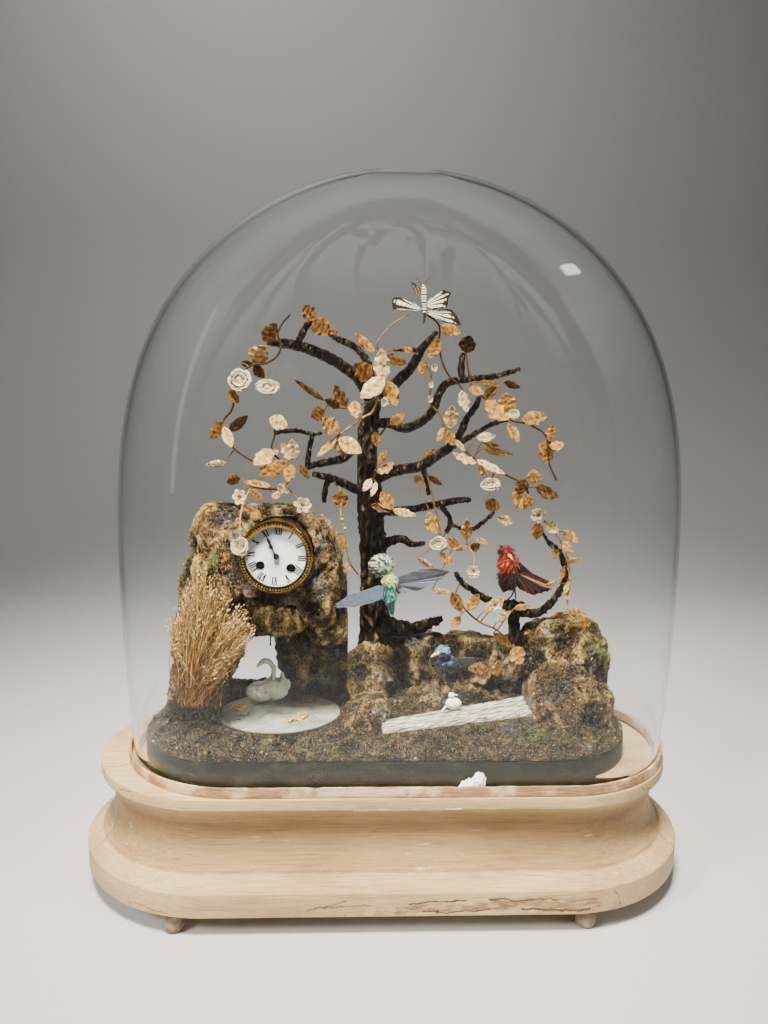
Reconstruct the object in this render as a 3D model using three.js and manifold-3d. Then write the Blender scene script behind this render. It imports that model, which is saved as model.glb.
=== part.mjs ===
// A glass-domed tableau: a mounted butterfly over a gilt-leaved tree, with a clock in
// rockwork, a mirror pond with a swan and four small birds, on a moulded wooden base.
// Millimetres, +Z up. The origin is on the table, under the middle of the base.
import * as THREE from "three";
import { mergeVertices } from "three/addons/utils/BufferGeometryUtils.js";
import Module from "manifold-3d";

const wasm = await Module();
wasm.setup();

// Driving dimensions.
const gap = 0.3;
const clear = 0.45;
const base = { straight: 165.3, plateEnd: 138.5, topEnd: 123.3, footHeight: 20, top: 123.3 };
const hoop = { x: 13, straight: 152, end: 121.5, thick: 2.4, height: 9.6 };
const dome = { x: 14, foot: 268.5, belly: 278, bellyAt: 322, top: 693, halfDepth: 117.5, glass: 4 };
const board = { x: 1.5, straight: 154, end: 92, thick: 20 };
const clock = { x: -104, z: 333, face: -65, dial: 29, bezel: 34, drum: 33, depth: 42 };
const dialTurn = THREE.MathUtils.degToRad(5);
const pond = { x: -108, y: -14, z: 160, halfWidth: 62, halfDepth: 52, thick: 2 };
const ground = { low: 146, rise: 26, edge: 42 };

const boardTop = base.top + gap + board.thick;

// The reference picture: a point in it, and a distance back, give a place in millimetres.
const picture = { x: 384, y: 512, focal: 774.1, eye: new THREE.Vector3(-27, -775, 468.3) };
const look = { down: 7.518, right: 1.818, roll: 0.495 };
const [down, right, roll] = [look.down, look.right, look.roll].map(THREE.MathUtils.degToRad);
const ahead = new THREE.Vector3(
  Math.sin(right) * Math.cos(down), Math.cos(right) * Math.cos(down), -Math.sin(down));
const level = new THREE.Vector3(Math.cos(right), -Math.sin(right), 0);
const upright = new THREE.Vector3().crossVectors(level, ahead);
const across = level.clone().multiplyScalar(Math.cos(roll))
  .addScaledVector(upright, Math.sin(roll));
const upward = upright.clone().multiplyScalar(Math.cos(roll))
  .addScaledVector(level, -Math.sin(roll));

function seen(px, py, y) {
  const ray = ahead.clone()
    .addScaledVector(across, (px - picture.x) / picture.focal)
    .addScaledVector(upward, -(py - picture.y) / picture.focal);
  return picture.eye.clone().addScaledVector(ray, (y - picture.eye.y) / ray.y);
}

// Solids.
function solid(geometry) {
  const bare = geometry.clone();
  for (const name of Object.keys(bare.attributes)) {
    if (name !== "position") bare.deleteAttribute(name);
  }
  const merged = mergeVertices(bare, 1e-3);
  const corners = new Uint32Array(merged.index.array);
  const build = () => new wasm.Manifold(new wasm.Mesh({
    numProp: 3,
    vertProperties: new Float32Array(merged.attributes.position.array),
    triVerts: corners,
  }));
  const made = build();
  if (made.volume() > 0) return made;
  for (let i = 0; i < corners.length; i += 3) {
    [corners[i], corners[i + 1]] = [corners[i + 1], corners[i]];
  }
  return build();
}

function join(pieces) {
  return pieces.reduce((whole, piece) => whole.add(piece));
}

// The largest of the bodies left by a cut.
function biggest(piece) {
  return piece.decompose().reduce((best, one) => (one.volume() > best.volume() ? one : best));
}

function prism(shape, low, high, curveSegments = 12) {
  const body = new THREE.ExtrudeGeometry(shape, {
    depth: high - low, bevelEnabled: false, curveSegments,
  });
  return solid(body.translate(0, 0, low));
}

function stadium(straight, end, x = 0) {
  const shape = new THREE.Shape();
  shape.absarc(x + straight, 0, end, -Math.PI / 2, Math.PI / 2, false);
  shape.absarc(x - straight, 0, end, Math.PI / 2, Math.PI * 1.5, false);
  return shape;
}

// A round body whose radius follows a height-by-reach profile, turned about the depth axis.
function turned(profile, x, z, segments = 20) {
  const points = profile.map(([radius, y]) => new THREE.Vector2(radius, y));
  return solid(new THREE.LatheGeometry(points, segments).translate(x, 0, z));
}

function ball(at, size, columns = 10, rows = 6, tilt = 0) {
  const body = new THREE.SphereGeometry(1, columns, rows);
  body.scale(...size).rotateY(tilt).translate(...at);
  return solid(body);
}

function roughness(x, y, z) {
  return Math.sin(x * 0.11 + z * 0.07) * Math.cos(y * 0.13 - x * 0.05)
    + 0.6 * Math.sin(z * 0.19 + y * 0.17 + x * 0.08);
}

function lump(at, size, rough = 2.5, columns = 7, rows = 4) {
  const body = new THREE.SphereGeometry(1, columns, rows);
  body.scale(...size).translate(...at);
  const place = body.attributes.position;
  for (let i = 0; i < place.count; i += 1) {
    const [x, y, z] = [place.getX(i), place.getY(i), place.getZ(i)];
    const push = 1 + rough * roughness(x, y, z) / Math.max(...size);
    place.setXYZ(i, at[0] + (x - at[0]) * push, at[1] + (y - at[1]) * push,
      at[2] + (z - at[2]) * push);
  }
  return solid(body);
}

// A tapering round limb along a route.
function limb(route, radii, sides = 6, perSpan = 1) {
  const path = new THREE.CatmullRomCurve3(route);
  const steps = (route.length - 1) * perSpan;
  const frames = path.computeFrenetFrames(steps);
  const skin = new THREE.CylinderGeometry(1, 1, 1, sides, steps);
  const place = skin.attributes.position;
  for (let i = 0; i < place.count; i += 1) {
    const along = 0.5 - place.getY(i);
    const ring = Math.round(along * steps);
    const reach = along * (radii.length - 1);
    const low = Math.min(Math.floor(reach), radii.length - 2);
    const radius = THREE.MathUtils.lerp(radii[low], radii[low + 1], reach - low);
    const point = path.getPointAt(Math.min(1, Math.max(0, along)));
    point.addScaledVector(frames.normals[ring], place.getX(i) * radius);
    point.addScaledVector(frames.binormals[ring], place.getZ(i) * radius);
    place.setXYZ(i, point.x, point.y, point.z);
  }
  return solid(skin);
}

// A leaf from where it grows to its tip: pointed at both ends and ridged behind. One that
// stands off its twig has a narrow stalk.
function leaf(root, foot, tip, width, turn) {
  const axis = tip.clone().sub(foot).normalize();
  const middle = foot.clone().lerp(tip, 0.45);
  const stalk = foot.clone().sub(root).dot(axis) > 3 ? [[foot, 1]] : [];
  const rings = [[root, 0], ...stalk, [middle, width / 2], [tip, 0]];
  const plate = new THREE.SphereGeometry(1, 3, rings.length - 1);
  const place = plate.attributes.position;
  const side = new THREE.Vector3(0, -1, 0).cross(axis).normalize();
  const face = axis.clone().cross(side).normalize();
  const flat = side.multiplyScalar(Math.cos(turn)).addScaledVector(face, Math.sin(turn));
  const normal = axis.clone().cross(flat).normalize();
  const corners = [[-1, 0], [0, 1.2], [1, 0], [-1, 0]];
  for (let i = 0; i < place.count; i += 1) {
    const [centre, reach] = rings[Math.floor(i / 4)];
    const [sideways, behind] = corners[i % 4];
    const point = centre.clone().addScaledVector(flat, sideways * reach)
      .addScaledVector(normal, reach > 0 ? behind : 0);
    place.setXYZ(i, point.x, point.y, point.z);
  }
  return solid(plate);
}

// The nearest place to a point on the middle line of a limb along a route.
function nearest(route, point) {
  const joints = new THREE.CatmullRomCurve3(route).getSpacedPoints(route.length - 1);
  const last = joints.length - 1;
  const inset = 1.5 / joints[0].distanceTo(joints[1]);
  joints[0].lerp(joints[1], inset);
  joints[last].lerp(joints[last - 1], inset);
  let best = joints[0];
  for (let i = 1; i < joints.length; i += 1) {
    const span = new THREE.Line3(joints[i - 1], joints[i]);
    const place = span.closestPointToPoint(point, true, new THREE.Vector3());
    if (place.distanceTo(point) < best.distanceTo(point)) best = place;
  }
  return best;
}

const part = new THREE.Group();
const colours = {
  wood: { color: 0xcdb083, roughness: 0.75 },
  brownWood: { color: 0x8a6a42, roughness: 0.7 },
  glass: { color: 0xdfe8e6, roughness: 0.05, transparent: true, opacity: 0.25 },
  green: { color: 0x2f3a26, roughness: 0.7 },
  rock: { color: 0x5a482c, roughness: 0.85 },
  mirror: { color: 0x7d8a78, roughness: 0.15, metalness: 0.6 },
  gilt: { color: 0xc99a4e, roughness: 0.35, metalness: 0.9 },
  gold: { color: 0xc4935a, roughness: 0.45, metalness: 0.6 },
  bark: { color: 0x241c14, roughness: 0.85 },
  enamel: { color: 0xeeeee8, roughness: 0.2 },
  steel: { color: 0x22252b, roughness: 0.35, metalness: 0.8 },
  cream: { color: 0xd9cfb4, roughness: 0.7 },
  wing: { color: 0xe6e2c8, roughness: 0.6 },
  feather: { color: 0x2b3038, roughness: 0.7 },
  red: { color: 0x7a1f14, roughness: 0.75 },
  teal: { color: 0x2f7a6a, roughness: 0.5 },
  straw: { color: 0x9a7444, roughness: 0.9 },
};

function add(name, body, colour) {
  const mesh = body.getMesh();
  const geometry = new THREE.BufferGeometry();
  geometry.setAttribute("position", new THREE.BufferAttribute(mesh.vertProperties, 3));
  geometry.setIndex(new THREE.BufferAttribute(mesh.triVerts, 1));
  const piece = new THREE.Mesh(geometry, new THREE.MeshStandardMaterial(colours[colour]));
  piece.name = name;
  part.add(piece);
  return body;
}

// Moulded wooden base: a plate, a hollow moulding and a top plate, round-ended.
function woodBase() {
  const profile = [
    [base.footHeight, base.plateEnd], [42.7, base.plateEnd], [54, 122.5],
    [58.5, 119.3], [68, 113.5], [85, 110.5], [103, 114],
    [112.6, base.topEnd], [base.top, base.topEnd],
  ];
  const turns = 36;
  const rows = profile.length - 1;
  const skin = new THREE.CylinderGeometry(1, 1, 1, turns, rows);
  const place = skin.attributes.position;
  for (let i = 0; i < place.count; i += 1) {
    const row = Math.round((0.5 + place.getY(i)) * rows);
    const [z, end] = profile[row];
    const reach = Math.hypot(place.getX(i), place.getZ(i));
    if (reach < 0.5) {
      place.setXYZ(i, 0, 0, z);
      continue;
    }
    const lap = Math.round((Math.atan2(place.getX(i), place.getZ(i)) / (2 * Math.PI)) * turns);
    const point = stadiumPoint(((lap % turns) + turns) % turns, turns, base.straight, end);
    place.setXYZ(i, point[0], point[1], z);
  }
  return solid(skin);
}

// Even steps round each end of a stadium; the long sides are one step each.
function stadiumPoint(lap, turns, straight, end) {
  const half = turns / 2;
  const step = lap % half;
  const angle = (step / (half - 1) - 0.5) * Math.PI;
  const sign = lap < half ? 1 : -1;
  return [sign * (straight + end * Math.cos(angle)), sign * end * Math.sin(angle)];
}

function foot(x, y) {
  const profile = [[0, 0], [7.5, 0], [10.3, 6], [9.5, 15], [7.2, 19.7], [0, 19.7]];
  const points = profile.map(([radius, z]) => new THREE.Vector2(radius, z));
  return solid(new THREE.LatheGeometry(points, 8).rotateX(Math.PI / 2).translate(x, y, 0));
}

const footX = [-193.5, 182.3];
const footY = 123;
add("foot_front_left", foot(footX[0], -footY), "brownWood");
add("foot_front_right", foot(footX[1], -footY), "brownWood");
add("foot_back_left", foot(footX[0], footY), "brownWood");
add("foot_back_right", foot(footX[1], footY), "brownWood");
add("wood_base", woodBase(), "wood");

function bentHoop() {
  const low = base.top + gap;
  const outer = prism(stadium(hoop.straight, hoop.end, hoop.x), low, low + hoop.height, 7);
  const inner = prism(stadium(hoop.straight, hoop.end - hoop.thick, hoop.x), low - 1,
    low + hoop.height + 1, 7);
  return outer.subtract(inner);
}
add("dome_hoop", bentHoop(), "brownWood");

// Oval glass dome. At each height the outline is a stadium; both half widths close at the top.
function domeHalves(z, inset) {
  const low = base.top + gap;
  const top = dome.top - inset;
  const swell = Math.min(1, (z - low) / (dome.bellyAt - low));
  const belly = dome.foot + (dome.belly - dome.foot) * Math.sin(swell * Math.PI / 2);
  const rise = Math.max(0, (z - dome.bellyAt) / (top - dome.bellyAt));
  const long = (belly - inset) * Math.max(0, 1 - rise ** 2.75) ** (1 / 1.89);
  const crownAt = top - (top - dome.bellyAt) * 0.62;
  const crown = Math.max(0, (z - crownAt) / (top - crownAt));
  const deep = (dome.halfDepth + 3 * Math.sin(swell * Math.PI / 2) - inset)
    * Math.max(0, 1 - crown ** 2.2) ** (1 / 2.2);
  return [Math.max(long, 0.01), Math.max(Math.min(deep, long), 0.005)];
}

function domeBody(inset, low, rows, turns) {
  const top = dome.top - inset;
  const skin = new THREE.CylinderGeometry(1, 1, 1, turns, rows);
  const place = skin.attributes.position;
  for (let i = 0; i < place.count; i += 1) {
    const row = Math.round((0.5 + place.getY(i)) * rows);
    const climb = row / rows;
    const z = row === rows ? top
      : low + (top - low) * Math.sin((climb ** 1.05) * Math.PI / 2) ** 0.85;
    const reach = Math.hypot(place.getX(i), place.getZ(i));
    if (reach < 0.5 || row === rows) {
      place.setXYZ(i, dome.x, 0, z);
      continue;
    }
    const [long, deep] = domeHalves(z, inset);
    const lap = Math.round((Math.atan2(place.getX(i), place.getZ(i)) / (2 * Math.PI)) * turns);
    const point = stadiumPoint(((lap % turns) + turns) % turns, turns, long - deep, deep);
    place.setXYZ(i, dome.x + point[0], point[1], z);
  }
  return solid(skin);
}

function glassDome() {
  const low = base.top + gap;
  const outer = domeBody(0, low, 8, 22);
  const inner = domeBody(dome.glass, low - 4, 8, 22);
  return outer.subtract(inner);
}
add("glass_dome", glassDome(), "glass");

add("ground_board", prism(stadium(board.straight, board.end, board.x),
  base.top + gap, boardTop, 8), "green");

// Rough ground on the board, rising to the back, with the pond let into it.
function groundHeight(x, y) {
  const along = Math.max(0, Math.abs(x - board.x) - board.straight);
  const inside = board.end - Math.hypot(along, y);
  const lift = Math.min(1, Math.max(0, inside / ground.edge));
  const back = THREE.MathUtils.clamp((y + board.end) / (2 * board.end), 0, 1);
  return ground.low + ground.rise * Math.sin(lift * Math.PI / 2) * (0.45 + 0.55 * back)
    + 1.5 * roughness(x * 2, y * 2, 0);
}

function groundwork(lift = 0) {
  const [wide, deep] = [2 * (board.straight + board.end) + 8, 2 * board.end + 8];
  const block = new THREE.BoxGeometry(wide, deep, 1, 14, 6, 1);
  const place = block.attributes.position;
  for (let i = 0; i < place.count; i += 1) {
    const [x, y] = [place.getX(i) + board.x, place.getY(i)];
    place.setXYZ(i, x, y, place.getZ(i) > 0 ? groundHeight(x, y) + lift : boardTop - 5);
  }
  const outline = prism(stadium(board.straight, board.end - 0.6, board.x), boardTop + gap, 260, 8);
  const recess = ellipsePrism(pond.halfWidth + 0.6, pond.halfDepth + 0.6, pond.z, 260);
  return outline.intersect(solid(block)).subtract(recess);
}

function ellipsePrism(halfWidth, halfDepth, low, high) {
  const shape = new THREE.Shape();
  shape.absellipse(pond.x, pond.y, halfWidth, halfDepth, 0, Math.PI * 2);
  return prism(shape, low, high, 10);
}

// Twisted clear rods lie side by side as running water, from the right rock to the boulder.
const rods = { radius: 3.4, left: [-4, 163.5], right: [156, 169],
  spread: [-50, 4], step: [5.3, 12.5] };
function glassRods(extra = 0, lift = 0) {
  return join([0, 1, 2, 3].map((i) => {
    const from = new THREE.Vector3(rods.left[0], rods.spread[0] - i * rods.step[0], rods.left[1]);
    const to = new THREE.Vector3(rods.right[0], rods.spread[1] - i * rods.step[1], rods.right[1]);
    const rod = new THREE.CylinderGeometry(
      rods.radius + extra, rods.radius + extra, 1, 6, 1);
    rod.scale(1, from.distanceTo(to) + 2 * extra, 1);
    const middle = from.clone().lerp(to, 0.5);
    const swing = new THREE.Quaternion().setFromUnitVectors(
      new THREE.Vector3(0, 1, 0), to.clone().sub(from).normalize());
    rod.applyQuaternion(swing).translate(middle.x, middle.y, middle.z + lift);
    return solid(rod);
  }));
}

const rodBundle = glassRods();
const rodsClear = glassRods(clear);
const channel = join([rodsClear, glassRods(clear, 3), glassRods(clear, 6)]);
const groundBody = biggest(groundwork().subtract(channel));
const groundClear = groundwork(clear);
const pondBody = ellipsePrism(pond.halfWidth, pond.halfDepth, pond.z + gap,
  pond.z + gap + pond.thick);
const pondClear = ellipsePrism(pond.halfWidth + clear, pond.halfDepth + clear, pond.z - 1,
  pond.z + gap + pond.thick + clear);

// Rocks: rough lumps run together, cut clear of the ground, the pond and each other.
const rocks = {
  clock_rock: [
    [[-116, -10, 322], [68, 46, 56]], [[-158, -5, 340], [32, 34, 36]],
    [[-165, -10, 292], [37, 42, 44]], [[-180, -8, 240], [32, 40, 52]],
    [[-192, -6, 182], [26, 42, 44]], [[-64, -14, 285], [22, 34, 36]],
    [[-57, -4, 256], [19, 28, 24]], [[-99, 28, 232], [13, 17, 44]],
    [[-92, 34, 184], [15, 18, 40]], [[-112, -8, 262], [36, 34, 17]], [[-58, 34, 205], [20, 18, 62]],
    [[-78, 46, 212], [34, 9, 56]],
  ],
  rear_rock: [
    [[-14, 28, 184], [27, 26, 34]], [[30, 55, 190], [62, 30, 36]],
    [[100, 52, 186], [58, 32, 38]], [[132, 40, 196], [26, 26, 26]],
    [[70, 12, 164], [44, 22, 12]],
  ],
  right_rock: [
    [[186, -14, 172], [43, 42, 40]], [[196, 24, 200], [42, 44, 52]],
    [[172, 42, 196], [30, 30, 44]],
  ],
  front_boulder: [[[-15, -34, 170], [21, 18, 18]], [[-22, -44, 163], [20, 14, 12]]],
};

function lumps(name, extra = 0) {
  return join(rocks[name].map(([at, size]) => lump(at, size.map((reach) => reach + extra))));
}

function rockwork(name, others) {
  const limits = prism(stadium(board.straight, board.end - 2, board.x), boardTop + 1, 400, 8);
  const cuts = [groundClear, rodsClear, pondClear, ...others.map((other) => lumps(other, clear))];
  return biggest(cuts.reduce((whole, cut) => whole.subtract(cut), lumps(name).intersect(limits)));
}

function clockWell() {
  return turned([[0, clock.face - 12], [clock.bezel + 1, clock.face - 12],
    [clock.bezel + 1, clock.face + 1.6], [clock.drum + gap, clock.face + 1.6],
    [clock.drum + gap, clock.face + clock.depth + gap + 1],
    [0, clock.face + clock.depth + gap + 1]], clock.x, clock.z);
}


const clockRock = biggest(rockwork("clock_rock", []).subtract(clockWell()));
const rearRock = rockwork("rear_rock", ["clock_rock"]);
const rightRock = rockwork("right_rock", ["rear_rock"]);
const boulder = rockwork("front_boulder", ["rear_rock", "clock_rock"]);

add("groundwork", groundBody, "rock");
add("glass_rods", rodBundle, "glass");
add("pond_mirror", pondBody, "mirror");
add("clock_rock", clockRock, "rock");
add("rear_rock", rearRock, "rock");
add("right_rock", rightRock, "rock");
add("front_boulder", boulder, "rock");

// Clock: drum, dial, beaded bezel, glass, two hands on an arbor and two winding squares.
function disc(radius, from, to, x = clock.x, z = clock.z, segments = 20) {
  return turned([[0, from], [radius, from], [radius, to], [0, to]], x, z, segments);
}

function windingPlace(side) {
  const reach = 17.6;
  const angle = dialTurn + side * THREE.MathUtils.degToRad(126);
  return [clock.x + reach * Math.sin(angle), clock.z + reach * Math.cos(angle)];
}

function clockDial() {
  let dial = disc(clock.dial, clock.face, clock.face + 1);
  for (const side of [-1, 1]) {
    const [x, z] = windingPlace(side);
    dial = dial.subtract(disc(3.6, clock.face - 1, clock.face + 2, x, z, 12));
  }
  return dial.subtract(disc(1.6, clock.face - 1, clock.face + 2, clock.x, clock.z, 10));
}

function clockBezel() {
  const front = clock.face - 8;
  return turned([[clock.dial - 1.2, front + 2], [clock.dial + 0.4, front + 0.6],
    [clock.dial + 2, front], [clock.bezel - 1, front + 1.4], [clock.bezel, front + 3],
    [clock.bezel, clock.face + 1], [clock.dial + 0.4, clock.face + 1],
    [clock.dial + 0.4, front + 2.8], [clock.dial - 1.2, front + 2.8],
    [clock.dial - 1.2, front + 2]], clock.x, clock.z, 20);
}

// A hand is an outline in the dial's plane with a round eye over the arbor.
function hand(length, width, from, to, hour) {
  const shape = new THREE.Shape();
  const eye = 3;
  shape.moveTo(eye * Math.cos(Math.PI * 0.6), eye * Math.sin(Math.PI * 0.6));
  shape.lineTo(-width * 0.9, length * 0.55);
  shape.lineTo(0, length);
  shape.lineTo(width * 0.9, length * 0.55);
  shape.absarc(0, 0, eye, Math.PI * 0.4, Math.PI * 0.6 - Math.PI * 2, true);
  const hole = new THREE.Path();
  hole.absarc(0, 0, 1.35, 0, Math.PI * 2, false);
  shape.holes.push(hole);
  const plate = new THREE.ExtrudeGeometry(shape, {
    depth: to - from, bevelEnabled: false, curveSegments: 3,
  });
  const angle = dialTurn + hour * Math.PI / 6;
  plate.rotateZ(-angle).rotateX(Math.PI / 2).translate(clock.x, to, clock.z);
  return solid(plate);
}

add("clock_case", disc(clock.drum, clock.face + 1 + gap, clock.face + clock.depth).subtract(
  disc(clock.drum - 3, clock.face, clock.face + clock.depth - 3)), "gilt");
add("clock_dial", clockDial(), "enamel");
add("clock_bezel", clockBezel(), "gilt");
add("clock_glass", disc(clock.dial + 0.1, clock.face - 4.8, clock.face - 4), "glass");
add("hour_hand", hand(17.5, 2, clock.face - 1.6, clock.face - 1, 10.917), "steel");
add("minute_hand", hand(26.5, 1.6, clock.face - 2.8, clock.face - 2.2, 11), "steel");
add("hand_arbor", disc(1, clock.face - 3.4, clock.face + 12, clock.x, clock.z, 10), "steel");
for (const [side, name] of [[-1, "left"], [1, "right"]]) {
  const [x, z] = windingPlace(side);
  add("winding_square_" + name, disc(2.2, clock.face + 0.6, clock.face + 14, x, z, 8), "steel");
}

const clockRockClear = lumps("clock_rock", clear);
add("pendulum_hook", biggest(limb([seen(270.6, 626, -30), seen(270.6, 636, -30),
  seen(270.6, 646, -30)], [0.7, 0.8, 0.9], 5).subtract(clockRockClear)), "steel");

// The tree: each limb is a list of picture places with a distance back, and its radii.
const limbs = {
  trunk: [
    { at: [[376, 650, 42], [374, 600, 36], [374, 560, 34], [371, 520, 32], [369, 490, 30],
      [365, 460, 28], [368, 430, 26], [374, 402, 24]], radii: [19, 13.5, 13, 12.5, 12, 10.5, 9, 6] },
    { at: [[377, 622, 30], [401, 628, 36], [422, 626, 42], [442, 618, 50]], radii: [11, 8, 5.5, 3] },
  ],
  branch_upper_left: [
    { at: [[370, 398, 23], [358, 378, 10], [348, 370, 4], [333, 360, 0], [318, 353, -4],
      [302, 347, -6], [287, 344, -8], [268, 342, -10]], radii: [6, 5.5, 5, 5, 5, 4.5, 4.5, 3] },
    { at: [[297, 346, -6], [307, 326, -10], [315, 320, -12]], radii: [3, 3, 2] },
  ],
  branch_top_left: [
    { at: [[373, 392, 31], [366, 360, 30], [353, 346, 34], [342, 341, 36], [329, 335, 38]],
      radii: [4, 3.5, 3, 3, 2] },
  ],
  branch_upper_right: [
    { at: [[380, 398, 26], [399, 380, 22], [410, 369, 18], [418, 356, 14], [425, 345, 12],
      [437, 332, 8]], radii: [6, 5, 4.5, 4, 3.5, 2] },
    { at: [[424, 350, 12], [410, 350, 16], [394, 350, 20]], radii: [2, 2, 1.5] },
  ],
  branch_right_high: [
    { at: [[374, 424, 26], [390, 423, 22], [404, 428, 16], [417, 424, 12], [426, 418, 10],
      [433, 410, 8], [439, 394, 6], [446, 384, 4], [463, 380, 0], [492, 377, -4], [520, 369, -8]],
      radii: [5, 5, 4.5, 4.5, 4, 4, 3.5, 3.5, 3, 3, 1.5] },
    { at: [[462, 381, 0], [461, 366, 2], [463, 353, 4]], radii: [3, 3, 2] },
  ],
  branch_right: [
    { at: [[372, 480, 28], [390, 472, 22], [404, 469, 16], [420, 466, 10], [436, 456, 4],
      [452, 445, 0], [460, 434, -2], [466, 420, -4], [476, 405, -6], [479, 397, -8]],
      radii: [6.5, 5.5, 5, 5, 4.5, 4, 3.5, 3, 3, 2] },
    { at: [[452, 446, 0], [466, 439, -8], [479, 431, -14], [495, 423, -18], [508, 420, -20]],
      radii: [3, 2.5, 2, 2, 1.2] },
    { at: [[422, 466, 10], [427, 482, 18], [429, 494, 24]], radii: [2.8, 2.4, 2] },
  ],
  branch_right_low: [
    { at: [[374, 512, 31], [407, 510, 30], [428, 506, 32], [444, 503, 34], [460, 500, 36],
      [470, 500, 38]], radii: [5, 4, 3.5, 3.5, 3, 2.5] },
    { at: [[437, 504, 33], [446, 512, 30], [450, 522, 28], [446, 533, 28]],
      radii: [3, 2.5, 2.5, 2] },
    { at: [[449, 524, 28], [471, 529, 24], [485, 520, 20], [494, 512, 18]], radii: [2, 2, 2, 1.4] },
  ],
  branch_low: [
    { at: [[376, 547, 32], [402, 539, 26], [412, 544, 22], [424, 543, 18]], radii: [5.5, 4, 3, 2] },
  ],
  branch_left: [
    { at: [[366, 448, 26], [353, 451, 18], [341, 459, 10], [327, 462, 4], [306, 467, 0]],
      radii: [5, 4, 4, 3.5, 3] },
    { at: [[307, 466, 0], [310, 447, -4], [313, 434, -6]], radii: [2.2, 2.2, 2] },
    { at: [[322, 433, -4], [313, 434, -6], [300, 431, -7], [287, 431, -8], [275, 433, -10]],
      radii: [1.4, 1.8, 1.8, 1.8, 1.6] },
  ],
  branch_left_low: [
    { at: [[366, 494, 28], [345, 484, 12], [330, 478, 8], [313, 474, 4]], radii: [5, 4, 3.5, 2.2] },
    { at: [[329, 479, 8], [325, 491, 8], [324, 502, 8]], radii: [2.6, 2.4, 2] },
  ],
  perch_stump: [
    { at: [[515, 654, 34], [514, 630, 32], [513, 608, 30]], radii: [7, 5.5, 6] },
    { at: [[505, 606, 29], [513, 606, 29], [523, 608, 29]], radii: [6, 7.5, 6] },
    { at: [[516, 610, 30], [530, 613, 26], [541, 611, 22], [549, 604, 18], [558, 593, 14],
      [565, 578, 12], [563, 561, 12], [558, 551, 12], [546, 539, 12], [542, 530, 14]],
      radii: [5, 4.5, 4, 3.5, 3, 3, 2.6, 2.6, 2, 1.5] },
    { at: [[508, 606, 30], [491, 601, 26], [475, 592, 24], [463, 583, 22], [455, 572, 22]],
      radii: [4, 3.5, 3, 2.5, 1.5] },
  ],
};

function route(places) {
  return places.map(([px, py, y]) => seen(px, py, y));
}

function limbGroup(name, extra = 0) {
  return join(limbs[name].map(({ at, radii }) => (
    limb(route(at), radii.map((radius) => radius + extra), name === "trunk" ? 7 : 4))));
}

const rockClear = join([lumps("rear_rock", clear), lumps("right_rock", clear)]);
const trunkClear = limbGroup("trunk", clear);
const stumpClear = limbGroup("perch_stump", clear);
add("trunk", biggest(limbGroup("trunk").subtract(rockClear).subtract(groundClear)), "bark");
for (const name of Object.keys(limbs)) {
  if (name === "trunk") continue;
  add(name, biggest(limbGroup(name).subtract(trunkClear).subtract(rockClear)), "bark");
}

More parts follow.
